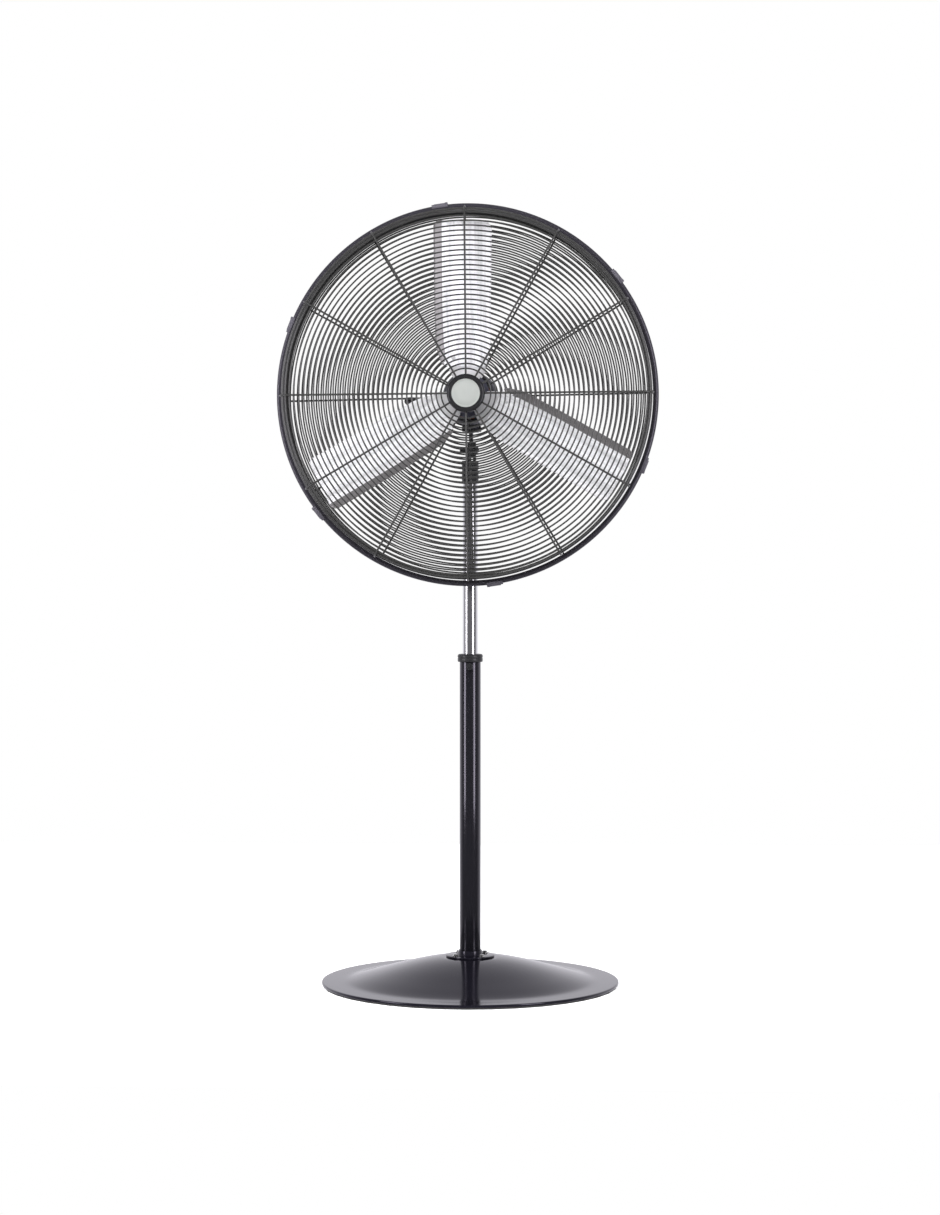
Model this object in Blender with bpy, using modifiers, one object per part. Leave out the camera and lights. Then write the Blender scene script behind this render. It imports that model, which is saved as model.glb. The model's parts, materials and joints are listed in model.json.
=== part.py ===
"""Pedestal fan: a weighted dish base, a telescopic column and a tilting head with a caged rotor.

Metres, +Z up, front facing -Y. The origin is the middle of the base on the floor.
Head pieces hang from an empty on the fan axis, whose own axes are x right, y up and z forward.
"""

import math

import bmesh
import bpy

TAU = math.tau
QUARTER = math.pi / 2

# --- Driving sizes, in metres and degrees ---

gap = 0.0003  # what keeps touching solids apart

base_radius = 0.320
brim_width = 0.052
brim_height = 0.0095
brim_lip = 0.006
dome_height = 0.0605
base_sheet = 0.0015
floor_ring_width = 0.018
floor_ring_inset = 0.0015
ballast_inset = 0.068  # inside the foot of the dome
ballast_thickness = 0.010
ballast_floor_gap = 0.004

flange_width = 0.0295
flange_thickness = 0.0036
flange_socket_wall = 0.003
flange_socket_height = 0.010
flange_bolt_radius = 0.003
flange_bolt_depth = 0.018
flange_bolt_head = 0.0055
flange_bolt_head_height = 0.0045
flange_bolt_count = 4
flange_bolt_turn = 40.0

tube_step = 0.0065  # how much wider the outer tube is than the inner one
outer_tube_wall = 0.0015
outer_tube_length = 0.643
collar_wall = 0.0045
collar_chamfer = 0.002
collar_skirt = 0.0078
collar_top = 0.009
bush_length = 0.060
height_lock_drop = 0.0168
lock_boss_radius = 0.0070
lock_boss_length = 0.0065
lock_screw_radius = 0.003
lock_knob_radius = 0.0075
lock_knob_length = 0.011

inner_tube_radius = 0.016
inner_tube_wall = 0.0012
inner_tube_length = 0.787
extension = 0.3662  # inner tube seen between the collar and the neck
slide_clearance = 0.0004
foot_plug = 0.030
foot_flange = 0.012

neck_wall = 0.002
neck_height = 0.048
neck_socket = 0.039
neck_bevel = 0.001
neck_lock_height = 0.018
swivel_boss_radius = 0.0072
swivel_boss_reach = 0.005
swivel_knob_radius = 0.0085
swivel_knob_length = 0.012
ear_thickness = 0.0062
pivot_rise = 0.071  # tilt pivot above the neck's lower end
pivot_bolt_radius = 0.004
tilt_knob_radius = 0.0065
tilt_knob_length = 0.0165
tilt_knob_bevel = 0.0015
tilt_nut_radius = 0.0085
tilt_nut_length = 0.0048
thread_end = 0.001  # what a bolt shows past its nut

tongue_thickness = 0.005
tongue_offset = 0.0035  # the tongue's middle, right of the column's middle
tongue_radius = 0.016
tongue_half_width = 0.022
tongue_head = 0.014
tongue_rise = 0.0525  # motor shell above the tilt pivot

motor_radius = 0.0575
motor_wall = 0.0025
shell_front = 0.0297
shell_back = -0.045
lug_outer = 0.015
lug_drop = 0.015
lug_bolt_drop = 0.0075
lug_bolt_spread = 0.013
lug_bolt_radius = 0.003
lug_bolt_head = 0.0058
lug_bolt_head_height = 0.0052
lug_nut_radius = 0.0062
lug_nut_height = 0.0044
front_bell_length = 0.0323
bell_corner = 0.011
bell_corner_depth = 0.015
bell_wall = 0.003
seat_rise = 0.007
seat_width = 0.010
spigot_wall = 0.0085
spigot_length = 0.011
vent_share = 0.39  # of the ring the vents lie in
vent_count = 6
vent_turn = 0.44
rear_bell_length = 0.037
rear_corner = 0.009
rear_vent_radius = 0.006

shaft_radius = 0.008
shaft_step = 0.004
shaft_end_gap = 0.008
bearing_section = 0.0095
bearing_width = 0.0135
bearing_wall = 0.004
stator_inner = 0.0400
stator_inset = 0.0017
stator_length = 0.043
winding_room = 0.0085
winding_overhang = 0.0135
winding_liner = 0.0030
air_gap = 0.0014

switch_case_wall = 0.0025
switch_case_length = 0.035
switch_radius = 0.013
switch_length = 0.020
knob_radius = 0.016
knob_length = 0.015
knob_spindle = 0.003
spindle_clearance = 0.0005
pointer_half_width = 0.0018
pointer_rise = 0.002
capacitor_radius = 0.009
capacitor_length = 0.026
capacitor_side_gap = 0.0025
capacitor_wall_gap = 0.004
gland_radius = 0.0055
gland_bore = 0.0035
gland_flange = 0.0085
gland_flange_height = 0.004
gland_nose = 0.0145
gland_tail = 0.006

handle_drop = 0.005
handle_back = 0.010
handle_boss_rise = 0.0025
handle_boss_radius = 0.009
handle_rod_radius = 0.004
handle_rod_length = 0.058
handle_grip_offset = 0.0425  # where the grip starts, out from the motor shell
handle_grip_length = 0.042
handle_grip_radius = 0.0070

band_radius = 0.398
band_width = 0.0095
band_wall = 0.0015
band_half_width = 0.0095
rim_wire_clearance = 0.0003  # between the rim wires' corners and the band's flats
rim_wire_offset = 0.0036
rim_wire_radius = 0.003
side_inset = 0.0075  # the cage's side wires, inside the rim wires
cage_half_depth = 0.093
spoke_radius = 0.002
spoke_count = 12
spoke_phase = 0.4  # keeps the spokes off the rings' corners
front_roll = 0.7
rear_roll = 1.4
ring_wire_radius = 0.0016
ring_pitch = 0.0303
first_ring_gap = 0.0105
hub_plate_inset = 0.0035
hub_plate_thickness = 0.003
rear_plate_rim = 0.0045
rear_plate_thickness = 0.002
rear_spoke_seat = 0.0008
front_spoke_start = 0.022
ring_nut_height = 0.0065

clip_count = 6
clip_first = 38.3
clip_length = 0.035
clip_wall = 0.0035
clip_leg = 0.0075
clip_leg_wall = 0.0016

cap_radius = 0.0395
cap_depth = 0.0122
cap_shoulder = 0.0045
cap_bevel = 0.0075
bezel_width = 0.006
badge_thickness = 0.0017
badge_recess = 0.0008
badge_clearance = 0.0005

blade_count = 3
blade_pitch = 28.0
blade_twist = 8.0
blade_setback = 0.003  # the blades' middle, behind the rim plane
blade_tip_gap = 0.0233
blade_left = 0.074
blade_right = 0.052
blade_thickness = 0.0012
blade_camber = 0.010
blade_root_width = 0.84
blade_overlap = 0.036
blade_flat_margin = 0.004  # flat blade past the arm's tip
hub_disc_radius = 0.046
hub_disc_thickness = 0.004
hub_boss_wall = 0.010
hub_boss_behind = 0.027
hub_boss_ahead = 0.016
arm_reach = 0.050
arm_margin = 0.0017
arm_thickness = 0.003
rivet_edge = 0.008
rivet_inset = 0.017
rivet_shank = 0.0022
rivet_head = 0.0052
rivet_head_height = 0.0022
rivet_strip = 0.0015
hub_nut_wall = 0.005
hub_nut_height = 0.011
shaft_past_nut = 0.004

round_steps = 24
large_steps = 36
core_steps = 16
small_steps = 12
hole_steps = 8

# --- Heights and places that follow from them ---

outer_tube_radius = inner_tube_radius + tube_step
collar_radius = outer_tube_radius + collar_wall
tube_bore = outer_tube_radius - outer_tube_wall
sliding_bore = inner_tube_radius + slide_clearance
neck_radius = inner_tube_radius + neck_wall
ear_radius = neck_radius - neck_bevel
socket_outer = outer_tube_radius + gap + flange_socket_wall
flange_radius = outer_tube_radius + flange_width
flange_bolt_circle = (socket_outer + flange_radius) / 2 + 0.0011
ballast_radius = base_radius - brim_width - ballast_inset

flange_bottom = dome_height + gap
flange_top = flange_bottom + flange_thickness
tube_bottom = flange_bottom
tube_top = tube_bottom + outer_tube_length
collar_bottom = tube_top - collar_skirt
collar_upper = tube_top + collar_top
lock_height = tube_top - height_lock_drop
neck_bottom = collar_upper + extension
neck_top = neck_bottom + neck_height
inner_tube_top = neck_bottom + neck_socket - gap
inner_tube_bottom = inner_tube_top - inner_tube_length
pivot_height = neck_bottom + pivot_rise
axis_height = pivot_height + tongue_rise + motor_radius

motor_bore = motor_radius - motor_wall
shaft_middle_radius = shaft_radius + shaft_step
bearing_radius = shaft_radius + bearing_section
spigot_radius = bearing_radius + spigot_wall
seat_radius = spigot_radius + seat_width
bell_face = shell_front + front_bell_length
bell_shoulder = bell_face + seat_rise
spigot_front = bell_shoulder + spigot_length
vent_ring = motor_radius - bell_corner - seat_radius
vent_circle = seat_radius + vent_ring * 0.52
vent_radius = vent_ring * vent_share
rear_face = shell_back - rear_bell_length
shaft_back = rear_face + shaft_end_gap
front_bearing_back = bell_face - bell_wall - bearing_width
rear_bearing_back = shaft_back + bell_wall
stator_front = shell_front - stator_inset
stator_back = stator_front - stator_length
winding_front = stator_front + winding_overhang
winding_back = stator_back - winding_overhang
winding_radius = motor_bore - winding_room

capacitor_offset = switch_radius + capacitor_side_gap + capacitor_radius
switch_case_radius = capacitor_offset + capacitor_radius + capacitor_wall_gap + switch_case_wall
switch_case_back = rear_face - switch_case_length
rear_vent_circle = (switch_case_radius + motor_radius) / 2 - 0.004
handle_boss_reach = motor_radius + handle_boss_rise
handle_rod_end = handle_boss_reach + handle_rod_length
handle_grip_start = motor_radius + handle_grip_offset
handle_grip_end = handle_grip_start + handle_grip_length

rear_plate_outer = seat_radius + rear_plate_rim
first_ring = rear_plate_outer + first_ring_gap
rear_spoke_start = seat_radius + rear_spoke_seat
rear_plane = bell_shoulder + gap + rear_plate_thickness + spoke_radius * 0.35
rim_plane = rear_plane + cage_half_depth  # forward of the column's axis
front_plane = rim_plane + cage_half_depth
band_inner = band_radius - band_width
band_flat_radius = band_radius * math.cos(math.pi / large_steps) - band_wall
rim_wire_circle = band_flat_radius - rim_wire_clearance - rim_wire_radius * math.sqrt(0.5)
cage_side_radius = rim_wire_circle - side_inset
hub_plate_radius = cap_radius - hub_plate_inset
cap_bezel = cap_radius - cap_bevel
badge_radius = cap_bezel - bezel_width

hub_plane = rim_plane - blade_setback
hub_boss_radius = shaft_radius + hub_boss_wall
hub_boss_front = hub_plane + hub_boss_ahead
hub_boss_back = hub_plane - hub_boss_behind
hub_nut_radius = shaft_radius + hub_nut_wall
shaft_front = hub_boss_front + hub_nut_height + shaft_past_nut
blade_tip = cage_side_radius - blade_tip_gap
arm_tip = hub_disc_radius + arm_reach
arm_half_width = blade_right * blade_root_width - arm_margin
blade_root = arm_tip - blade_overlap
rivet_circle = blade_root + rivet_inset
rivet_spread = arm_half_width - rivet_edge
blade_lift = arm_thickness / 2 + gap + blade_thickness / 2


# --- Tools ---


def clear_scene():
    for obj in list(bpy.data.objects):
        bpy.data.objects.remove(obj, do_unlink=True)


def new_collection(name):
    made = bpy.data.collections.new(name)
    bpy.context.scene.collection.children.link(made)
    return made


def new_material(name, colour, roughness, metallic):
    made = bpy.data.materials.new(name)
    made.use_nodes = True
    shader = made.node_tree.nodes["Principled BSDF"]
    shader.inputs["Base Color"].default_value = (*colour, 1.0)
    shader.inputs["Roughness"].default_value = roughness
    shader.inputs["Metallic"].default_value = metallic
    return made


clear_scene()
parts = new_collection("pedestal_fan")
cutters = new_collection("cutters")
gloss_black = new_material("gloss_black_enamel", (0.02, 0.02, 0.024), 0.12, 0.0)
satin_black = new_material("satin_black_paint", (0.025, 0.025, 0.028), 0.35, 0.0)
guard_black = new_material("guard_enamel", (0.03, 0.03, 0.035), 0.3, 0.0)
band_grey = new_material("rim_band_enamel", (0.10, 0.09, 0.11), 0.3, 0.2)
chrome = new_material("chromed_tube", (0.75, 0.75, 0.77), 0.08, 1.0)
steel = new_material("zinc_plated_steel", (0.6, 0.6, 0.6), 0.3, 1.0)
aluminium = new_material("aluminium_blade", (0.72, 0.72, 0.73), 0.3, 1.0)
motor_paint = new_material("motor_enamel", (0.10, 0.10, 0.13), 0.35, 0.1)
iron = new_material("cast_iron", (0.12, 0.12, 0.12), 0.7, 0.6)
plastic = new_material("black_plastic", (0.02, 0.02, 0.02), 0.4, 0.0)
rubber = new_material("black_rubber", (0.03, 0.03, 0.03), 0.8, 0.0)
copper = new_material("winding_copper", (0.45, 0.16, 0.08), 0.4, 0.8)
laminations = new_material("lamination_steel", (0.3, 0.3, 0.3), 0.5, 0.9)
silver = new_material("silver_badge", (0.6, 0.6, 0.6), 0.3, 0.6)
capacitor_skin = new_material("capacitor_plastic", (0.55, 0.55, 0.52), 0.5, 0.0)


def empty(name, location, rotation=(0, 0, 0), parent=None):
    made = bpy.data.objects.new(name, None)
    parts.objects.link(made)
    made.location = location
    made.rotation_euler = rotation
    made.parent = parent
    return made


def place(
    name, mesh, material=None, location=(0, 0, 0), rotation=(0, 0, 0), parent=None, helper=False
):
    made = bpy.data.objects.new(name, mesh)
    (cutters if helper else parts).objects.link(made)
    made.location = location
    made.rotation_euler = rotation
    made.parent = parent
    if material:
        mesh.materials.append(material)
    if helper:
        made.hide_render = True
        made.display_type = "WIRE"
    return made


def mesh_of(bm, name):
    mesh = bpy.data.meshes.new(name)
    bm.to_mesh(mesh)
    bm.free()
    return mesh


def turned(name, profile, material=None, steps=round_steps, on_axis=False, **where):
    """A profile of (radius, height) points turned about the local z axis; its outer side runs down."""
    bm = bmesh.new()
    points = [bm.verts.new((radius, 0, height)) for radius, height in profile]
    for first, second in zip(points, points[1:]):
        bm.edges.new((first, second))
    if not on_axis:
        bm.edges.new((points[-1], points[0]))
    made = place(name, mesh_of(bm, name), material, **where)
    screw = made.modifiers.new("turn", "SCREW")
    screw.axis = "Z"
    screw.angle = TAU
    screw.steps = steps
    screw.render_steps = steps
    screw.use_merge_vertices = True
    screw.merge_threshold = 0.00001
    return made


def ring_profile(inner, outer, low, high):
    return [(inner, high), (outer, high), (outer, low), (inner, low)]


def hex_nut(name, bore, outer, low, high, material, **where):
    """A hexagonal nut whose bore clears a round thread of that radius."""
    profile = ring_profile(bore / math.cos(math.pi / 6), outer, low, high)
    return turned(name, profile, material, steps=6, **where)


def disc_profile(radius, low, high):
    return [(0, high), (radius, high), (radius, low), (0, low)]


def block(name, low, high, material=None, **where):
    """A box between two corners."""
    bm = bmesh.new()
    bmesh.ops.create_cube(bm, size=1.0)
    for vert in bm.verts:
        for i in range(3):
            vert.co[i] = (low[i] + high[i]) / 2 + vert.co[i] * (high[i] - low[i])
    return place(name, mesh_of(bm, name), material, **where)


def rod(name, radius, low, high, material=None, steps=small_steps, **where):
    """A cylinder, or a hexagon with six steps, along the local z axis."""
    bm = bmesh.new()
    bmesh.ops.create_cone(
        bm, cap_ends=True, segments=steps, radius1=radius, radius2=radius, depth=high - low
    )
    for vert in bm.verts:
        vert.co.z += (low + high) / 2
    return place(name, mesh_of(bm, name), material, **where)


def cut(target, tool):
    modifier = target.modifiers.new(f"cut_{tool.name}", "BOOLEAN")
    modifier.operation = "DIFFERENCE"
    modifier.object = tool


def join(target, tool):
    modifier = target.modifiers.new(f"join_{tool.name}", "BOOLEAN")
    modifier.operation = "UNION"
    modifier.object = tool


def drill(target, name, radius, low, high, steps=small_steps, **where):
    tool = rod(name, radius, low, high, steps=steps, helper=True, **where)
    cut(target, tool)
    return tool


def mesh_from_curve(curve_object):
    """The curve's evaluated mesh, welded, in place of the curve."""
    bpy.context.view_layer.update()
    graph = bpy.context.evaluated_depsgraph_get()
    mesh = bpy.data.meshes.new_from_object(curve_object.evaluated_get(graph))
    bpy.data.objects.remove(curve_object, do_unlink=True)
    bm = bmesh.new()
    bm.from_mesh(mesh)
    bmesh.ops.remove_doubles(bm, verts=bm.verts[:], dist=0.00001)
    bmesh.ops.recalc_face_normals(bm, faces=bm.faces[:])
    bm.to_mesh(mesh)
    bm.free()
    mesh.materials.clear()
    return mesh


def flat_plate(name, outline, thickness, holes=()):
    """A mesh of a flat outline in the local xy plane, half its thickness each side of it."""
    curve = bpy.data.curves.new(name, "CURVE")
    curve.dimensions = "2D"
    curve.fill_mode = "BOTH"
    curve.extrude = thickness / 2
    for loop in (outline, *holes):
        spline = curve.splines.new("POLY")
        spline.points.add(len(loop) - 1)
        spline.use_cyclic_u = True
        for point, (x, y) in zip(spline.points, loop):
            point.co = (x, y, 0, 1)
    made = bpy.data.objects.new(name, curve)
    cutters.objects.link(made)
    return mesh_from_curve(made)


def arc(centre, radius, start, end, steps):
    """Points on an arc, in degrees, both ends included."""
    found = []
    for i in range(steps + 1):
        angle = math.radians(start + (end - start) * i / steps)
        found.append((centre[0] + radius * math.cos(angle), centre[1] + radius * math.sin(angle)))
    return found


def circle(centre, radius, steps=small_steps):
    return arc(centre, radius, 0, 360, steps)[:-1]


def wires(name, paths, radius):
    """One mesh of separate round wires along the paths, four sides each."""
    curve = bpy.data.curves.new(name, "CURVE")
    curve.dimensions = "3D"
    curve.bevel_depth = radius
    curve.bevel_resolution = 0
    curve.use_fill_caps = True
    for path in paths:
        spline = curve.splines.new("POLY")
        spline.points.add(len(path) - 1)
        for point, place_at in zip(spline.points, path):
            point.co = (*place_at, 1)
    made = bpy.data.objects.new(name, curve)
    cutters.objects.link(made)
    return mesh_from_curve(made)


def spun_rings(name, rings, wire_radius, corner, steps=round_steps):
    """One mesh of separate rings of triangular wire about the local z axis, at (radius, height) places.

    corner is where a section's first corner points, in degrees from outwards."""
    bm = bmesh.new()
    for radius, height in rings:
        corners = []
        for i in range(3):
            turn = math.radians(corner + 120 * i)
            out = wire_radius * math.cos(turn)
            up = wire_radius * math.sin(turn)
            corners.append(bm.verts.new((radius + out, 0, height + up)))
        for i in range(3):
            bm.edges.new((corners[i], corners[(i + 1) % 3]))
    bmesh.ops.spin(
        bm,
        geom=bm.verts[:] + bm.edges[:],
        cent=(0, 0, 0),
        axis=(0, 0, 1),
        angle=TAU,
        steps=steps,
        use_merge=True,
    )
    bmesh.ops.remove_doubles(bm, verts=bm.verts[:], dist=0.00001)
    bmesh.ops.recalc_face_normals(bm, faces=bm.faces[:])
    return mesh_of(bm, name)


# --- Base ---


def dome_outline():
    """The dish's upper surface from its middle out: a flat crown, a straight slope and a soft foot."""
    foot = base_radius - brim_width
    rise = dome_height - brim_height
    shape = [(0.28, 0.955), (0.46, 0.80), (0.80, 0.31), (0.91, 0.13), (1.0, 0.05)]
    return [(foot * share, brim_height + rise * height) for share, height in shape]


def make_base():
    hole = outer_tube_radius * 0.5
    profile = [(hole, dome_height), (flange_radius, dome_height), *dome_outline()]
    profile += [(base_radius - brim_width * 0.4, brim_height + 0.0008), (base_radius, brim_height)]
    profile += [(base_radius, brim_height - brim_lip)]
    dish = turned("base_dish", profile, gloss_black, steps=large_steps, on_axis=True)
    solid = dish.modifiers.new("sheet", "SOLIDIFY")
    solid.thickness = base_sheet
    solid.offset = -1.0

    ring_top = brim_height - base_sheet - gap
    ring_outer = base_radius - base_sheet - gap - floor_ring_inset
    turned(
        "floor_ring",
        ring_profile(ring_outer - floor_ring_width, ring_outer, 0, ring_top),
        rubber,
        steps=large_steps,
    )

    top = dome_height - base_sheet - gap
    low = ballast_floor_gap
    boss = flange_radius * 0.96
    profile = [(hole, top), (boss, top), (boss * 1.2, low + ballast_thickness * 1.6)]
    profile += [(ballast_radius, low + ballast_thickness), (ballast_radius, low), (hole, low)]
    ballast = turned("base_ballast", profile, iron, steps=core_steps)

    socket = outer_tube_radius + gap
    profile = [
        (socket, flange_top + flange_socket_height),
        (socket + flange_socket_wall, flange_top + flange_socket_height),
        (socket + flange_socket_wall, flange_top),
        (flange_radius, flange_top),
        (flange_radius, flange_bottom),
        (socket, flange_bottom),
    ]
    flange = turned("pole_flange", profile, gloss_black)

    for i in range(flange_bolt_count):
        angle = math.radians(flange_bolt_turn + 360 * i / flange_bolt_count)
        spot = (flange_bolt_circle * math.cos(angle), flange_bolt_circle * math.sin(angle), 0)
        hole_low = flange_top - flange_bolt_depth - 0.002
        tool = drill(
            flange,
            f"flange_hole_{i + 1}",
            flange_bolt_radius + gap,
            hole_low,
            flange_top + 0.005,
            steps=hole_steps,
            location=spot,
        )
        cut(dish, tool)
        cut(ballast, tool)
        head = flange_top + gap
        profile = [
            (0, head + flange_bolt_head_height),
            (flange_bolt_head, head + flange_bolt_head_height),
            (flange_bolt_head, head),
            (flange_bolt_radius, head),
            (flange_bolt_radius, flange_top - flange_bolt_depth),
            (0, flange_top - flange_bolt_depth),
        ]
        turned(f"flange_bolt_{i + 1}", profile, steel, steps=6, on_axis=True, location=spot)


# --- Column ---


def make_column():
    wall = ring_profile(tube_bore, outer_tube_radius, tube_bottom, tube_top)
    outer = turned("outer_tube", wall, gloss_black)
    profile = [
        (sliding_bore, collar_upper),
        (collar_radius - collar_chamfer, collar_upper),
        (collar_radius, collar_upper - collar_chamfer),
        (collar_radius, collar_bottom),
        (outer_tube_radius + gap, collar_bottom),
        (outer_tube_radius + gap, tube_top + gap),
        (sliding_bore, tube_top + gap),
    ]
    turned("tube_collar", profile, plastic)
    bush = turned(
        "slide_bush",
        ring_profile(sliding_bore, tube_bore - gap, tube_top - bush_length, tube_top - gap),
        plastic,
    )
    # The lock's screw, nut and holes lie along -Y, at the lock's height.
    where = {"location": (0, 0, lock_height), "rotation": (QUARTER, 0, 0)}
    boss_start = outer_tube_radius + gap
    boss_end = boss_start + lock_boss_length
    nut = turned(
        "height_lock_nut",
        ring_profile(lock_screw_radius + gap, lock_boss_radius, boss_start, boss_end),
        gloss_black,
        steps=small_steps,
        **where,
    )
    low = lock_height - lock_boss_radius * 2
    high = lock_height + lock_boss_radius * 2
    cut(nut, rod("tube_bed", boss_start, low, high, steps=round_steps, helper=True))
    hole = lock_screw_radius + gap
    tool = drill(outer, "lock_hole", hole, inner_tube_radius, boss_end, steps=hole_steps, **where)
    cut(bush, tool)
    tip = inner_tube_radius + gap
    knob_start = boss_end + gap
    profile = [
        (0, knob_start + lock_knob_length),
        (lock_knob_radius * 0.8, knob_start + lock_knob_length),
        (lock_knob_radius, knob_start + lock_knob_length - 0.002),
        (lock_knob_radius, knob_start),
        (lock_screw_radius, knob_start),
        (lock_screw_radius, tip),
        (0, tip),
    ]
    turned("height_lock_screw", profile, plastic, steps=small_steps, on_axis=True, **where)

    bore = inner_tube_radius - inner_tube_wall
    wall = ring_profile(bore, inner_tube_radius, inner_tube_bottom, inner_tube_top)
    turned("inner_tube", wall, chrome)
    plug = bore - gap
    foot_top = inner_tube_bottom - gap
    profile = [
        (0, inner_tube_bottom + foot_plug),
        (plug, inner_tube_bottom + foot_plug),
        (plug, foot_top),
        (tube_bore - slide_clearance, foot_top),
        (tube_bore - slide_clearance, foot_top - foot_flange),
        (0, foot_top - foot_flange),
    ]
    turned("tube_foot", profile, plastic, on_axis=True)


# --- Neck ---


def along_x(low, height, depth=0.0):
    """Where a piece turned about the world x axis starts."""
    return {"location": (low, depth, height), "rotation": (0, QUARTER, 0)}


def standing_plate(name, outline, thickness, middle, material=None, holes=(), **where):
    """A plate in the world yz plane: the outline's x is world y and its y is world z."""
    mesh = flat_plate(name, outline, thickness, holes)
    return place(name, mesh, material, location=(middle, 0, 0), rotation=(QUARTER, 0, QUARTER), **where)


def make_neck():
    bore = inner_tube_radius + gap
    profile = [
        (0, neck_top),
        (neck_radius - neck_bevel, neck_top),
        (neck_radius, neck_top - neck_bevel),
        (neck_radius, neck_bottom + neck_bevel * 6),
        (neck_radius - neck_bevel * 1.2, neck_bottom),
        (bore, neck_bottom),
        (bore, neck_bottom + neck_socket),
        (0, neck_bottom + neck_socket),
    ]
    neck = turned("neck_fork", profile, satin_black, on_axis=True)
    ear_low = neck_bottom + neck_socket + 0.002
    outline = arc((0, pivot_height), ear_radius, 0, 180, 8)
    outline += [(-ear_radius + 0.002, ear_low), (ear_radius - 0.002, ear_low)]
    hole = circle((0, pivot_height), pivot_bolt_radius + gap)
    reach = tongue_thickness / 2 + gap + ear_thickness / 2
    for side in (-1, 1):
        middle = tongue_offset + side * reach
        name = "ear_left" if side < 0 else "ear_right"
        join(neck, standing_plate(name, outline, ear_thickness, middle, holes=[hole], helper=True))
    # The swivel lock's boss and screw stand behind the sleeve, along +Y.
    where = {"location": (0, 0, neck_bottom + neck_lock_height), "rotation": (-QUARTER, 0, 0)}
    boss_end = neck_radius + swivel_boss_reach
    boss_start = (bore + neck_radius) / 2
    join(neck, rod("swivel_boss", swivel_boss_radius, boss_start, boss_end, helper=True, **where))
    bore_end = neck_bottom + neck_socket
    cut(neck, rod("neck_bore", bore, neck_bottom - 0.001, bore_end, steps=round_steps, helper=True))
    hole_start = inner_tube_radius * 0.5
    hole_end = boss_end + 0.002
    thread = lock_screw_radius + gap
    drill(neck, "swivel_hole", thread, hole_start, hole_end, steps=hole_steps, **where)
    knob_start = boss_end + gap
    profile = [
        (0, knob_start + swivel_knob_length),
        (swivel_knob_radius, knob_start + swivel_knob_length),
        (swivel_knob_radius, knob_start),
        (lock_screw_radius, knob_start),
        (lock_screw_radius, bore),
        (0, bore),
    ]
    turned("swivel_lock_screw", profile, plastic, steps=small_steps, on_axis=True, **where)

    left = tongue_offset - reach - ear_thickness / 2 - gap
    right = tongue_offset + reach + ear_thickness / 2 + gap
    bolt_end = right + tilt_nut_length + thread_end
    knob_end = left - tilt_knob_length
    profile = [
        (0, bolt_end),
        (pivot_bolt_radius, bolt_end),
        (pivot_bolt_radius, left),
        (tilt_knob_radius * 0.85, left),
        (tilt_knob_radius, left - tilt_knob_bevel),
        (tilt_knob_radius, knob_end + tilt_knob_bevel),
        (tilt_knob_radius * 0.8, knob_end),
        (0, knob_end),
    ]
    where = along_x(0, pivot_height)
    turned("tilt_lock_screw", profile, plastic, steps=small_steps, on_axis=True, **where)
    nut_end = right + tilt_nut_length
    hex_nut("tilt_nut", pivot_bolt_radius + gap, tilt_nut_radius, right, nut_end, steel, **where)


# --- Head ---


def make_tongue():
    top = axis_height - motor_radius - gap
    outline = arc((0, pivot_height), tongue_radius, 180, 360, 8)
    outline += [(tongue_half_width, top - tongue_head), (tongue_half_width, top)]
    outline += [(-tongue_half_width, top), (-tongue_half_width, top - tongue_head)]
    bolt_height = axis_height - motor_radius - lug_bolt_drop
    holes = [circle((0, pivot_height), pivot_bolt_radius + gap)]
    for side in (-1, 1):
        spot = (side * lug_bolt_spread, bolt_height)
        holes.append(circle(spot, lug_bolt_radius + gap, hole_steps))
    standing_plate("tilt_tongue", outline, tongue_thickness, tongue_offset, satin_black, holes)

    left = tongue_offset - lug_outer
    head = left - gap - lug_bolt_head_height
    low = tongue_offset + lug_outer + gap
    high = low + lug_nut_height
    bore = lug_bolt_radius + gap
    for name, depth in (("front", -lug_bolt_spread), ("rear", lug_bolt_spread)):
        where = along_x(0, bolt_height, depth)
        profile = [
            (0, high + thread_end),
            (lug_bolt_radius, high + thread_end),
            (lug_bolt_radius, left - gap),
            (lug_bolt_head, left - gap),
            (lug_bolt_head, head),
            (0, head),
        ]
        turned(f"tongue_bolt_{name}", profile, satin_black, steps=6, on_axis=True, **where)
        hex_nut(f"tongue_nut_{name}", bore, lug_nut_radius, low, high, satin_black, **where)


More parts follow.
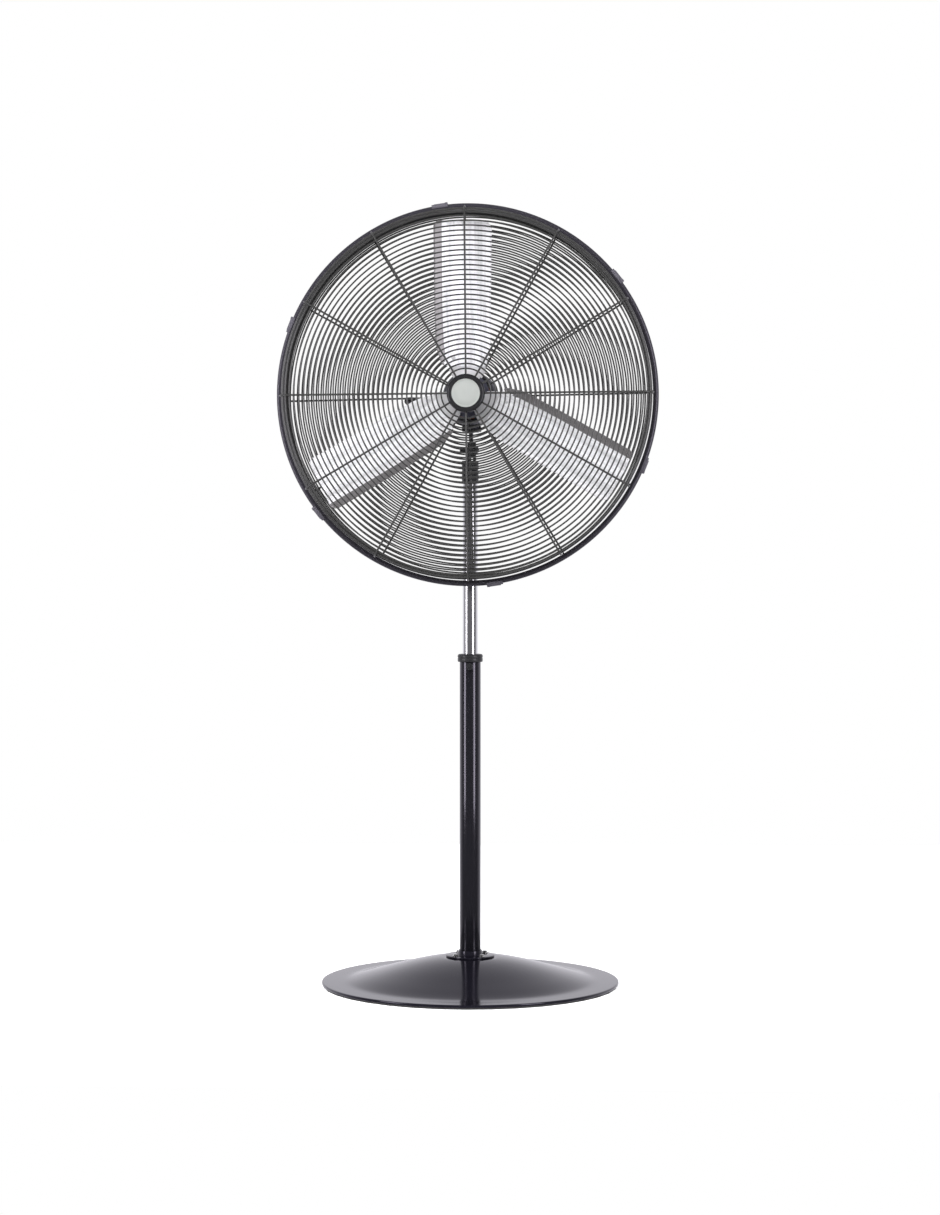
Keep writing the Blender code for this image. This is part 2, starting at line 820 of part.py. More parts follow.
def make_motor(head):
    shell = turned(
        "motor_shell",
        disc_profile(motor_radius, shell_back, shell_front),
        motor_paint,
        on_axis=True,
        steps=large_steps,
        parent=head,
    )
    lug_low = -motor_radius - lug_drop
    lug_high = -motor_bore
    half = tongue_half_width
    inner_left = tongue_offset - tongue_thickness / 2 - gap
    inner_right = tongue_offset + tongue_thickness / 2 + gap
    lugs = (
        ("lug_left", tongue_offset - lug_outer, inner_left),
        ("lug_right", inner_right, tongue_offset + lug_outer),
    )
    for name, low, high in lugs:
        lug = block(name, (low, lug_low, -half), (high, lug_high, half), parent=head, helper=True)
        join(shell, lug)
    boss = rod(
        "handle_boss",
        handle_boss_radius,
        motor_bore - 0.002,
        handle_boss_reach,
        location=(0, -handle_drop, -handle_back),
        rotation=(0, -QUARTER, 0),
        parent=head,
        helper=True,
    )
    join(shell, boss)
    bore = rod(
        "shell_bore",
        motor_bore,
        shell_back - 0.01,
        shell_front + 0.01,
        steps=large_steps,
        parent=head,
        helper=True,
    )
    cut(shell, bore)
    for i, depth in enumerate((-lug_bolt_spread, lug_bolt_spread)):
        drill(
            shell,
            f"lug_hole_{i + 1}",
            lug_bolt_radius + gap,
            tongue_offset - lug_outer - 0.01,
            tongue_offset + lug_outer + 0.01,
            steps=hole_steps,
            **along_x(0, axis_height - motor_radius - lug_bolt_drop, depth),
        )

    front = shell_front + gap
    bore = motor_bore - gap
    housing = bearing_radius + bearing_wall
    seat = bearing_radius + gap
    front_seat = front_bearing_back + bearing_width + gap
    shaft_hole = shaft_radius + 0.0025
    profile = [
        (shaft_hole, spigot_front),
        (spigot_radius, spigot_front),
        (spigot_radius, bell_shoulder),
        (seat_radius, bell_shoulder),
        (seat_radius, bell_face),
        (motor_radius - bell_corner, bell_face - 0.0025),
        (motor_radius, bell_face - bell_corner_depth),
        (motor_radius, front),
        (bore, front),
        (bore, bell_face - bell_corner_depth - 0.0015),
        (bore - bell_corner + 0.0015, bell_face - bell_wall - 0.0028),
        (housing, bell_face - bell_wall),
        (housing, front_bearing_back - 0.0005),
        (seat, front_bearing_back - 0.0005),
        (seat, front_seat),
        (shaft_hole, front_seat),
    ]
    bell = turned("motor_front_bell", profile, motor_paint, parent=head)
    for i in range(vent_count):
        angle = TAU * (i + vent_turn) / vent_count
        spot = (vent_circle * math.cos(angle), vent_circle * math.sin(angle), 0)
        where = {"steps": hole_steps, "location": spot, "parent": head}
        drill(bell, f"vent_{i + 1}", vent_radius, bell_face - 0.014, bell_face + 0.004, **where)

    back = shell_back - gap
    rear_seat = rear_bearing_back - gap
    pocket = shaft_back - 0.002
    profile = [
        (0, pocket),
        (shaft_radius + 0.002, pocket),
        (shaft_radius + 0.002, rear_seat),
        (seat, rear_seat),
        (seat, rear_bearing_back + bearing_width + 0.0005),
        (housing, rear_bearing_back + bearing_width + 0.0005),
        (housing, rear_face + bell_wall),
        (bore - rear_corner, rear_face + bell_wall),
        (bore, rear_face + rear_corner + 0.002),
        (bore, back),
        (motor_radius, back),
        (motor_radius, rear_face + rear_corner),
        (motor_radius - rear_corner, rear_face),
        (0, rear_face),
    ]
    rear = turned("motor_rear_bell", profile, motor_paint, on_axis=True, parent=head)
    for i in range(vent_count):
        angle = TAU * (i + vent_turn) / vent_count
        spot = (rear_vent_circle * math.cos(angle), rear_vent_circle * math.sin(angle), 0)
        where = {"steps": hole_steps, "location": spot, "parent": head}
        name = f"rear_vent_{i + 1}"
        drill(rear, name, rear_vent_radius, rear_face - 0.004, rear_face + 0.008, **where)

    turned(
        "stator_core",
        ring_profile(stator_inner, motor_bore - 0.0008, stator_back, stator_front),
        laminations,
        steps=core_steps,
        parent=head,
    )
    liner = stator_inner - gap
    bare = liner - winding_liner
    profile = [
        (bare, winding_front),
        (winding_radius, winding_front),
        (winding_radius, stator_front + gap),
        (liner, stator_front + gap),
        (liner, stator_back - gap),
        (winding_radius, stator_back - gap),
        (winding_radius, winding_back),
        (bare, winding_back),
    ]
    turned("stator_winding", profile, copper, steps=core_steps, parent=head)
    for name, low in (("bearing_front", front_bearing_back), ("bearing_rear", rear_bearing_back)):
        turned(
            name,
            ring_profile(shaft_radius + gap, bearing_radius, low, low + bearing_width),
            steel,
            steps=core_steps,
            parent=head,
        )
    thread = spigot_radius + gap
    nut_back = bell_shoulder + rear_plate_thickness + gap * 2
    turned(
        "guard_ring_nut",
        ring_profile(thread, seat_radius - 0.0002, nut_back, nut_back + ring_nut_height),
        plastic,
        steps=round_steps,
        parent=head,
    )


def make_controls(head):
    """The switch case behind the motor, with what it holds, and the steering handle at the motor's side."""
    top = rear_face - gap
    wall = switch_case_wall
    inside = switch_case_radius - wall
    floor = switch_case_back + wall
    hole = knob_spindle + spindle_clearance
    profile = [
        (inside, top),
        (switch_case_radius, top),
        (switch_case_radius, switch_case_back + 0.004),
        (switch_case_radius - 0.004, switch_case_back),
        (hole, switch_case_back),
        (hole, floor),
        (inside - 0.003, floor),
        (inside, floor + 0.003),
    ]
    case = turned("switch_case", profile, plastic, parent=head)
    switch_top = floor + gap + switch_length
    turned(
        "speed_switch",
        disc_profile(switch_radius, floor + gap, switch_top),
        plastic,
        steps=small_steps,
        on_axis=True,
        parent=head,
    )
    knob_top = switch_case_back - gap
    profile = [
        (0, floor - 0.0004),
        (knob_spindle, floor - 0.0004),
        (knob_spindle, knob_top),
        (knob_radius, knob_top),
        (knob_radius, knob_top - 0.004),
        (knob_radius - 0.003, knob_top - knob_length),
        (0, knob_top - knob_length),
    ]
    knob = turned("speed_knob", profile, plastic, steps=core_steps, on_axis=True, parent=head)
    knob_end = knob_top - knob_length
    low = (-pointer_half_width, 0, knob_end - pointer_rise)
    high = (pointer_half_width, knob_radius - 0.0045, knob_end + 0.003)
    join(knob, block("knob_pointer", low, high, parent=head, helper=True))
    low = floor + 0.0035
    turned(
        "capacitor",
        disc_profile(capacitor_radius, low, low + capacitor_length),
        capacitor_skin,
        steps=small_steps,
        on_axis=True,
        location=(capacitor_offset, 0, 0),
        parent=head,
    )
    # The gland points down: its own z axis is the head's -y.
    middle = (top + switch_case_back) / 2
    where = {"location": (0, 0, middle), "rotation": (QUARTER, 0, 0), "parent": head}
    drill(case, "gland_hole", gland_radius + gap, inside - 0.010, switch_case_radius + 0.004, **where)
    seat = switch_case_radius + gap
    profile = [
        (gland_bore, seat + gland_nose),
        (gland_radius, seat + gland_nose),
        (gland_flange, seat + gland_flange_height),
        (gland_flange, seat),
        (gland_radius, seat),
        (gland_radius, inside - gland_tail),
        (gland_bore, inside - gland_tail),
    ]
    turned("cord_gland", profile, plastic, steps=small_steps, **where)

    # The handle points left: its own z axis is the head's -x.
    spot = (0, -handle_drop, -handle_back)
    where = {"location": spot, "rotation": (0, -QUARTER, 0), "parent": head}
    start = handle_boss_reach + gap
    profile = [
        (0, handle_rod_end),
        (handle_rod_radius, handle_rod_end),
        (handle_rod_radius, start + 0.003),
        (handle_rod_radius * 2, start + 0.003),
        (handle_rod_radius * 2, start),
        (0, start),
    ]
    turned("handle_rod", profile, steel, steps=small_steps, on_axis=True, **where)
    bore = handle_rod_radius + gap
    profile = [
        (0, handle_grip_end),
        (handle_grip_radius * 0.60, handle_grip_end - 0.0015),
        (handle_grip_radius * 0.94, handle_grip_end - 0.006),
        (handle_grip_radius, handle_grip_end - 0.012),
        (handle_grip_radius * 0.88, handle_grip_end - 0.027),
        (handle_grip_radius * 0.80, handle_grip_start),
        (bore, handle_grip_start),
        (bore, handle_rod_end + gap),
        (0, handle_rod_end + gap),
    ]
    turned("handle_grip", profile, plastic, steps=small_steps, on_axis=True, **where)


# --- Cage ---


def cage_path(start):
    """One spoke's run as (radius, depth from the rim plane): face, shoulder, side and rim wire."""
    side = cage_side_radius
    deep = cage_half_depth
    return [
        (start, deep),
        (side - 0.0300, deep - 0.0010),
        (side - 0.0070, deep - 0.0110),
        (side - 0.0010, deep - 0.0330),
        (side, 0.0090),
        (side + 0.0020, rim_wire_offset + 0.0004),
        (rim_wire_circle, rim_wire_offset),
    ]


def along_path(path, distance):
    """The point at a distance along the path, and the direction there."""
    for (r0, d0), (r1, d1) in zip(path, path[1:]):
        length = math.hypot(r1 - r0, d1 - d0)
        if distance <= length:
            share = distance / length
            point = (r0 + (r1 - r0) * share, d0 + (d1 - d0) * share)
            return point, ((r1 - r0) / length, (d1 - d0) / length)
        distance -= length
    raise ValueError("the distance runs past the end of the path")


def ring_places():
    """Where the rings lie, inside the spokes and clear of them, as (radius, depth)."""
    path = cage_path(first_ring)
    run = sum(math.hypot(b[0] - a[0], b[1] - a[1]) for a, b in zip(path, path[1:4]))
    run += path[3][1] - path[4][1]
    lift = spoke_radius + ring_wire_radius + gap
    found = []
    for i in range(int((run - 0.012) / ring_pitch) + 1):
        (radius, depth), (across, down) = along_path(path, i * ring_pitch)
        # Inwards is a quarter turn from the run: to the rim plane on the face, to the axis at the side.
        found.append((radius + down * lift, depth - across * lift))
    return found


def make_guard(name, head, side, roll, plate_profile, start, plate_on_axis):
    """Hub plate, spokes, rim wire and rings as one welded wire guard. side is 1 in front and -1 behind."""
    head = empty(f"{name}_roll", (0, 0, 0), (0, 0, math.radians(roll)), head)
    guard = turned(name, plate_profile, guard_black, on_axis=plate_on_axis, parent=head)
    paths = []
    for i in range(spoke_count):
        angle = TAU * i / spoke_count + math.radians(spoke_phase)
        upright = i % (spoke_count // 2) == spoke_count // 4
        # Rings are welded to the two upright spokes, which stand a little further in.
        sink = gap + ring_wire_radius * 0.7 if upright else 0.0
        path = []
        for n, (radius, depth) in enumerate(cage_path(start)):
            inwards = sink if 1 < n < 5 else 0.0
            r = radius - inwards
            d = depth - (sink if n < 4 else 0.0)
            path.append((r * math.cos(angle), r * math.sin(angle), rim_plane + side * d))
        paths.append(path)
    mesh = wires(f"{name}_spokes", paths, spoke_radius)
    join(guard, place(f"{name}_spokes", mesh, parent=head, helper=True))
    offset = rim_plane + side * rim_wire_offset
    wire = rim_wire_radius * math.sqrt(0.5)
    inner = rim_wire_circle - wire
    outer = rim_wire_circle + wire
    profile = ring_profile(inner, outer, offset - wire, offset + wire)
    join(guard, turned(f"{name}_rim", profile, parent=head, helper=True))
    rings = [(radius, rim_plane + side * depth) for radius, depth in ring_places()]
    mesh = spun_rings(f"{name}_rings", rings, ring_wire_radius, 90 * side)
    join(guard, place(f"{name}_rings", mesh, parent=head, helper=True))
    return guard


def make_cage(head):
    plate_front = front_plane - spoke_radius * 0.6
    profile = disc_profile(hub_plate_radius, plate_front - hub_plate_thickness, plate_front)
    make_guard("front_guard", head, 1, front_roll, profile, front_spoke_start, True)
    plate_back = bell_shoulder + gap
    plate_end = plate_back + rear_plate_thickness
    profile = ring_profile(spigot_radius + gap, rear_plate_outer, plate_back, plate_end)
    make_guard("rear_guard", head, -1, rear_roll, profile, rear_spoke_start, False)

    outer = band_radius
    half = band_half_width
    wall = band_wall
    profile = [
        (band_inner, rim_plane + half),
        (outer, rim_plane + half),
        (outer, rim_plane - half),
        (band_inner, rim_plane - half),
        (band_inner, rim_plane - half + wall),
        (outer - wall, rim_plane - half + wall),
        (outer - wall, rim_plane + half - wall),
        (band_inner, rim_plane + half - wall),
    ]
    turned("rim_band", profile, band_grey, steps=large_steps, parent=head)

    for i in range(clip_count):
        make_clip(i, head)

    back = front_plane + spoke_radius + gap
    front = back + cap_depth
    badge_floor = front - badge_thickness - badge_recess
    recess = badge_radius + badge_clearance
    profile = [
        (0, badge_floor),
        (recess, badge_floor),
        (recess, front),
        (cap_bezel, front),
        (cap_radius, front - cap_shoulder),
        (cap_radius, back),
        (0, back),
    ]
    turned("hub_cap", profile, plastic, on_axis=True, steps=32, parent=head)
    turned(
        "hub_badge",
        disc_profile(badge_radius, badge_floor + gap, badge_floor + gap + badge_thickness),
        silver,
        on_axis=True,
        steps=32,
        parent=head,
    )


def make_clip(index, head):
    """A spring clip: a flat back over the band and a leg down each of its sides."""
    angle = math.radians(clip_first + 360 * index / clip_count)
    seat = band_radius + gap
    side = band_half_width + gap
    far = side + clip_leg_wall
    outline = [
        (seat + clip_wall, -far),
        (seat + clip_wall, far),
        (seat - clip_leg, far),
        (seat - clip_leg, side),
        (seat, side),
        (seat, -side),
        (seat - clip_leg, -side),
        (seat - clip_leg, -far),
    ]
    name = f"rim_clip_{index + 1}"
    frame = empty(f"clip_{index + 1}_place", (0, 0, rim_plane), (0, 0, angle), head)
    mesh = flat_plate(name, outline, clip_length)
    # The outline's x stays radial and its y turns into the head's forward axis.
    place(name, mesh, steel, rotation=(QUARTER, 0, 0), parent=frame)


# --- Rotor ---


def blade_mesh():
    """A sheet in the blade seat's frame: flat at the root, then cambered and untwisted towards the tip."""
    bm = bmesh.new()
    across, along = 5, 7
    bmesh.ops.create_grid(bm, x_segments=across, y_segments=along, size=0.5)
    flat_end = arm_tip + blade_flat_margin
    for vert in bm.verts:
        s = vert.co.x + 0.5
        row = round((vert.co.y + 0.5) * along)
        blend = max(0, row - 1) / (along - 1)
        reach = flat_end + (blade_tip - flat_end) * blend if row else blade_root
        width = 1.0 if row else blade_root_width
        x = (-blade_left + (blade_left + blade_right) * s) * width
        bend = min(1.0, blend * 3)
        z = -blade_camber * (1 - (2 * s - 1) ** 2) * bend
        turn = math.radians(blade_twist) * blend
        vert.co.x = x * math.cos(turn) - z * math.sin(turn)
        vert.co.y = reach
        vert.co.z = x * math.sin(turn) + z * math.cos(turn) + blade_lift
    return mesh_of(bm, "blade")


def make_rotor(rotor):
    profile = [
        (0, shaft_front),
        (shaft_radius, shaft_front),
        (shaft_radius, stator_front + 0.008),
        (shaft_middle_radius, stator_front + 0.008),
        (shaft_middle_radius, stator_back - 0.007),
        (shaft_radius, stator_back - 0.007),
        (shaft_radius, shaft_back),
        (0, shaft_back),
    ]
    turned("motor_shaft", profile, steel, on_axis=True, steps=core_steps, parent=rotor)
    core = stator_inner - gap - winding_liner - air_gap
    turned(
        "rotor_core",
        ring_profile(shaft_middle_radius + gap, core, stator_back + 0.001, stator_front - 0.001),
        laminations,
        steps=core_steps,
        parent=rotor,
    )
    half = hub_disc_thickness / 2
    bore = shaft_radius + gap
    profile = [
        (bore, hub_boss_front),
        (hub_boss_radius, hub_boss_front),
        (hub_boss_radius, hub_plane + half),
        (hub_disc_radius, hub_plane + half),
        (hub_disc_radius, hub_plane - half),
        (hub_boss_radius, hub_plane - half),
        (hub_boss_radius, hub_boss_back),
        (bore, hub_boss_back),
    ]
    hub = turned("blade_hub", profile, motor_paint, parent=rotor)
    nut_low = hub_boss_front + gap
    hex_nut("hub_nut", bore, hub_nut_radius, nut_low, nut_low + hub_nut_height, steel, parent=rotor)

    sheet = blade_mesh()
    sheet.materials.append(aluminium)
    for i in range(blade_count):
        turn = TAU * i / blade_count
        seat = empty(f"blade_seat_{i + 1}", (0, 0, hub_plane), (0, math.radians(blade_pitch), turn), rotor)
        low = (-arm_half_width, hub_boss_radius + 0.012, -arm_thickness / 2)
        high = (arm_half_width, arm_tip, arm_thickness / 2)
        join(hub, block(f"arm_{i + 1}", low, high, parent=seat, helper=True))
        blade = place(f"blade_{i + 1}", sheet, parent=seat)
        solid = blade.modifiers.new("sheet", "SOLIDIFY")
        solid.thickness = blade_thickness
        solid.offset = 0.0
        make_rivets(i + 1, seat, blade, hub)


def make_rivets(number, seat, blade, hub):
    """Two rivets on a strip behind the arm, as one fastener, and their holes."""
    front = blade_lift + blade_thickness / 2 + gap
    back = -arm_thickness / 2 - gap
    low = (-rivet_spread - rivet_head, rivet_circle - rivet_head, back - rivet_strip)
    high = (rivet_spread + rivet_head, rivet_circle + rivet_head, back)
    strip = block(f"rivet_strip_{number}", low, high, aluminium, parent=seat)
    profile = [
        (0, front + rivet_head_height),
        (rivet_head * 0.6, front + rivet_head_height),
        (rivet_head, front),
        (rivet_shank, front),
        (rivet_shank, back - rivet_strip * 0.5),
        (0, back - rivet_strip * 0.5),
    ]
    for side, x in (("a", -rivet_spread), ("b", rivet_spread)):
        where = {"location": (x, rivet_circle, 0), "parent": seat, "steps": hole_steps}
        tool = drill(blade, f"rivet_hole_{number}{side}", rivet_shank + gap, -0.006, 0.008, **where)
        cut(hub, tool)
        join(strip, turned(f"rivet_{number}{side}", profile, on_axis=True, helper=True, **where))


def shade_round_pieces():
    for obj in parts.objects:
        if obj.type == "MESH":
            obj.data.shade_smooth()
            obj.data.set_sharp_from_angle(angle=math.radians(40))


def main():
    make_base()
    make_column()
    make_neck()
    make_tongue()
    head = empty("head_axis", (0, 0, axis_height), (QUARTER, 0, 0))
    make_motor(head)
    make_controls(head)
    make_cage(head)
    rotor = empty("rotor_axis", (0, 0, 0), parent=head)
    make_rotor(rotor)
    shade_round_pieces()


main()
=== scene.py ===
import json
import math

import bmesh
import bpy
from mathutils import Matrix, Vector
from mathutils.geometry import interpolate_bezier


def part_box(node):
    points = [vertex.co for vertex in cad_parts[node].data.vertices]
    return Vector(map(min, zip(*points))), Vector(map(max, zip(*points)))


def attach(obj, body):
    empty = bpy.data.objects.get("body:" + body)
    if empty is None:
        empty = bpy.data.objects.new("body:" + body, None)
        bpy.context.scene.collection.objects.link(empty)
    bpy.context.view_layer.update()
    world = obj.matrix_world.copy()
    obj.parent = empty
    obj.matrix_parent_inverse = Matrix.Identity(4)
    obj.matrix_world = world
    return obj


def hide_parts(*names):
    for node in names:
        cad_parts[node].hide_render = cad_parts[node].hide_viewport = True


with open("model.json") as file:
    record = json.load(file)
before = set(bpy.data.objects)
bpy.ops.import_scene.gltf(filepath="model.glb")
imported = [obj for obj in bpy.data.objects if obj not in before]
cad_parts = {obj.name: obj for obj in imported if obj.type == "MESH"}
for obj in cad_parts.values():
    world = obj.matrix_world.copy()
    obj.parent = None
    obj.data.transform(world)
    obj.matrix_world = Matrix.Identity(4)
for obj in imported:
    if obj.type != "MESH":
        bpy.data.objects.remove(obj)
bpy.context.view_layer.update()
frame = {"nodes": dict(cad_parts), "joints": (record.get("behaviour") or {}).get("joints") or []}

scene = bpy.context.scene
fullTurn = math.tau

# Camera: a little right of the fan's middle and below its head

cameraView = {"place": (0.208, -6.0, 1.0), "yaw": 1.99, "pitch": 1.79, "lens": 82.9}

cameraData = bpy.data.cameras.new("fanCamera")
cameraData.sensor_fit = "VERTICAL"
cameraData.sensor_height = 36
cameraData.lens = cameraView["lens"]
fanCamera = bpy.data.objects.new("fanCamera", cameraData)
scene.collection.objects.link(fanCamera)
fanCamera.location = cameraView["place"]
fanCamera.rotation_euler = (math.radians(90 - cameraView["pitch"]), 0, math.radians(cameraView["yaw"]))
scene.camera = fanCamera
scene.view_settings.view_transform = "Standard"
print("camera is set")

# Places that every piece hangs from

joints = {joint["name"]: joint for joint in frame["joints"]}
axisHeight = joints["blade_spin"]["pos_m"][2]
bladePlane = -joints["blade_spin"]["pos_m"][1]
pivotHeight = joints["head_tilt"]["pos_m"][2]
bandLow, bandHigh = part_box("rim_band")
rimPlane = -(bandLow.y + bandHigh.y) / 2
headPlace = Matrix.Translation((0, 0, axisHeight)) @ Matrix.Rotation(math.pi / 2, 4, "X")


# Mesh tools

def spunShape(profile, steps=64, closed=True):
    # a profile of radius and height, spun about z
    bm = bmesh.new()
    verts = [bm.verts.new((radius, 0, height)) for radius, height in profile]
    edges = [bm.edges.new(pair) for pair in zip(verts, verts[1:])]
    if closed:
        edges.append(bm.edges.new((verts[-1], verts[0])))
    bmesh.ops.spin(
        bm, geom=verts + edges, cent=(0, 0, 0), axis=(0, 0, 1), angle=fullTurn, steps=steps, use_merge=True
    )
    bmesh.ops.remove_doubles(bm, verts=bm.verts[:], dist=0.000005)
    bmesh.ops.recalc_face_normals(bm, faces=bm.faces[:])
    return bm


def softenEdges(bm, width, segments=2, angle=35):
    sharp = [e for e in bm.edges if len(e.link_faces) == 2 and e.calc_face_angle(0) > math.radians(angle)]
    bmesh.ops.bevel(
        bm, geom=sharp, offset=width, offset_type="OFFSET", segments=segments,
        profile=0.5, affect="EDGES", material=-1, clamp_overlap=True,
    )
    return bm


def rodShape(radius, low, high, steps=20):
    return spunShape([(0, low), (radius, low), (radius, high), (0, high)], steps, closed=False)


def sleeveShape(bore, radius, low, high, soften, steps=32):
    return softenEdges(spunShape([(bore, low), (radius, low), (radius, high), (bore, high)], steps), soften)


def arcPoints(centre, radius, start, end, steps):
    points = []
    for i in range(steps + 1):
        angle = math.radians(start + (end - start) * i / steps)
        points.append((centre[0] + radius * math.cos(angle), centre[1] + radius * math.sin(angle)))
    return points


def slabShape(outline, low, high, soften=0.0005):
    # a flat outline in x and y, raised from low to high
    bm = bmesh.new()
    face = bm.faces.new([bm.verts.new((x, y, low)) for x, y in outline])
    raised = bmesh.ops.extrude_face_region(bm, geom=[face])
    lifted = [v for v in raised["geom"] if isinstance(v, bmesh.types.BMVert)]
    bmesh.ops.translate(bm, verts=lifted, vec=(0, 0, high - low))
    bmesh.ops.recalc_face_normals(bm, faces=bm.faces[:])
    if soften:
        softenEdges(bm, soften)
    return bm


def wireShape(path, radius, sides=8):
    # a round wire along a path of x and z
    bm = bmesh.new()
    ring = bmesh.ops.create_circle(bm, cap_ends=True, segments=sides, radius=radius)["verts"]
    edges = [e for e in bm.edges]
    frames = []
    for i, (x, z) in enumerate(path):
        before = path[max(i - 1, 0)]
        after = path[min(i + 1, len(path) - 1)]
        lean = math.atan2(after[0] - before[0], after[1] - before[1])
        frames.append(Matrix.Translation((x, 0, z)) @ Matrix.Rotation(lean, 4, "Y"))
    bmesh.ops.transform(bm, matrix=frames[0], verts=ring)
    for before, after in zip(frames, frames[1:]):
        drawn = bmesh.ops.extrude_edge_only(bm, edges=edges)["geom"]
        edges = [g for g in drawn if isinstance(g, bmesh.types.BMEdge)]
        verts = [g for g in drawn if isinstance(g, bmesh.types.BMVert)]
        bmesh.ops.transform(bm, matrix=after @ before.inverted(), verts=verts)
    bmesh.ops.contextual_create(bm, geom=edges)
    bmesh.ops.recalc_face_normals(bm, faces=bm.faces[:])
    return bm


def flutedShape(radius, low, high, flutes, depth, soften=0.0006):
    # a knob with flutes down its side and a sunk top
    bm = bmesh.new()
    rim = bmesh.ops.create_circle(bm, cap_ends=True, segments=flutes * 4, radius=radius)["verts"]
    for i, vert in enumerate(rim):
        if i % 4 in (0, 1):
            vert.co *= 1 - depth / radius
    bmesh.ops.translate(bm, verts=rim, vec=(0, 0, low))
    raised = bmesh.ops.extrude_face_region(bm, geom=bm.faces[:])["geom"]
    lifted = [g for g in raised if isinstance(g, bmesh.types.BMVert)]
    bmesh.ops.translate(bm, verts=lifted, vec=(0, 0, high - low))
    top = [g for g in raised if isinstance(g, bmesh.types.BMFace)]
    bmesh.ops.inset_region(bm, faces=top, thickness=radius * 0.24, depth=0)
    bmesh.ops.inset_region(bm, faces=top, thickness=radius * 0.06, depth=-0.0006)
    bmesh.ops.recalc_face_normals(bm, faces=bm.faces[:])
    return softenEdges(bm, soften, segments=2, angle=50)


def hexShape(radius, low, high, soften=0.0006):
    corners = arcPoints((0, 0), radius, 0, 300, 5)
    return slabShape(corners, low, high, soften)


def added(*shapes):
    # several shapes as one mesh
    whole = bmesh.new()
    for bm in shapes:
        mesh = bpy.data.meshes.new("shape")
        bm.to_mesh(mesh)
        bm.free()
        whole.from_mesh(mesh)
        bpy.data.meshes.remove(mesh)
    return whole


def moved(bm, matrix):
    bmesh.ops.transform(bm, matrix=matrix, verts=bm.verts[:])
    if matrix.determinant() < 0:
        bmesh.ops.reverse_faces(bm, faces=bm.faces[:])
    return bm


def pieceFrom(name, bm, body, finish, stands, smooth=35):
    # finish is one of the materials below, and stands are the CAD nodes this piece stands for
    mesh = bpy.data.meshes.new(name)
    bm.to_mesh(mesh)
    bm.free()
    mesh.materials.append(finish["material"])
    mesh.shade_smooth()
    mesh.set_sharp_from_angle(angle=math.radians(smooth))
    piece = bpy.data.objects.new(name, mesh)
    scene.collection.objects.link(piece)
    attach(piece, body)
    if stands:
        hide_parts(*stands)
    return piece


def depthSpan(nodeName):
    # how far forward a CAD node's back and front stand
    low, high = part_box(nodeName)
    return -high.y, -low.y


def alongY(x, y, z, forward=True):
    # a place whose own z points forward, along -y, or back
    return Matrix.Translation((x, y, z)) @ Matrix.Rotation(math.pi / 2 if forward else -math.pi / 2, 4, "X")


def alongX(x, y, z, right=True):
    return Matrix.Translation((x, y, z)) @ Matrix.Rotation(math.pi / 2 if right else -math.pi / 2, 4, "Y")


# Shared effects, as node groups

def newGroup(name, inputs, outputs):
    tree = bpy.data.node_groups.new(name, "ShaderNodeTree")
    for label, kind, value in inputs:
        socket = tree.interface.new_socket(name=label, in_out="INPUT", socket_type=kind)
        socket.default_value = value
    for label, kind in outputs:
        tree.interface.new_socket(name=label, in_out="OUTPUT", socket_type=kind)
    enter = tree.nodes.new("NodeGroupInput")
    leave = tree.nodes.new("NodeGroupOutput")
    return tree, enter, leave


def node(tree, kind, **values):
    made = tree.nodes.new(kind)
    for key, value in values.items():
        if hasattr(made, key):
            setattr(made, key, value)
        else:
            made.inputs[key.replace("_", " ")].default_value = value
    return made


def mathNode(tree, operation, first, second):
    made = tree.nodes.new("ShaderNodeMath")
    made.operation = operation
    for socket, value in zip(made.inputs, (first, second)):
        if isinstance(value, bpy.types.NodeSocket):
            tree.links.new(value, socket)
        else:
            socket.default_value = value
    return made.outputs[0]


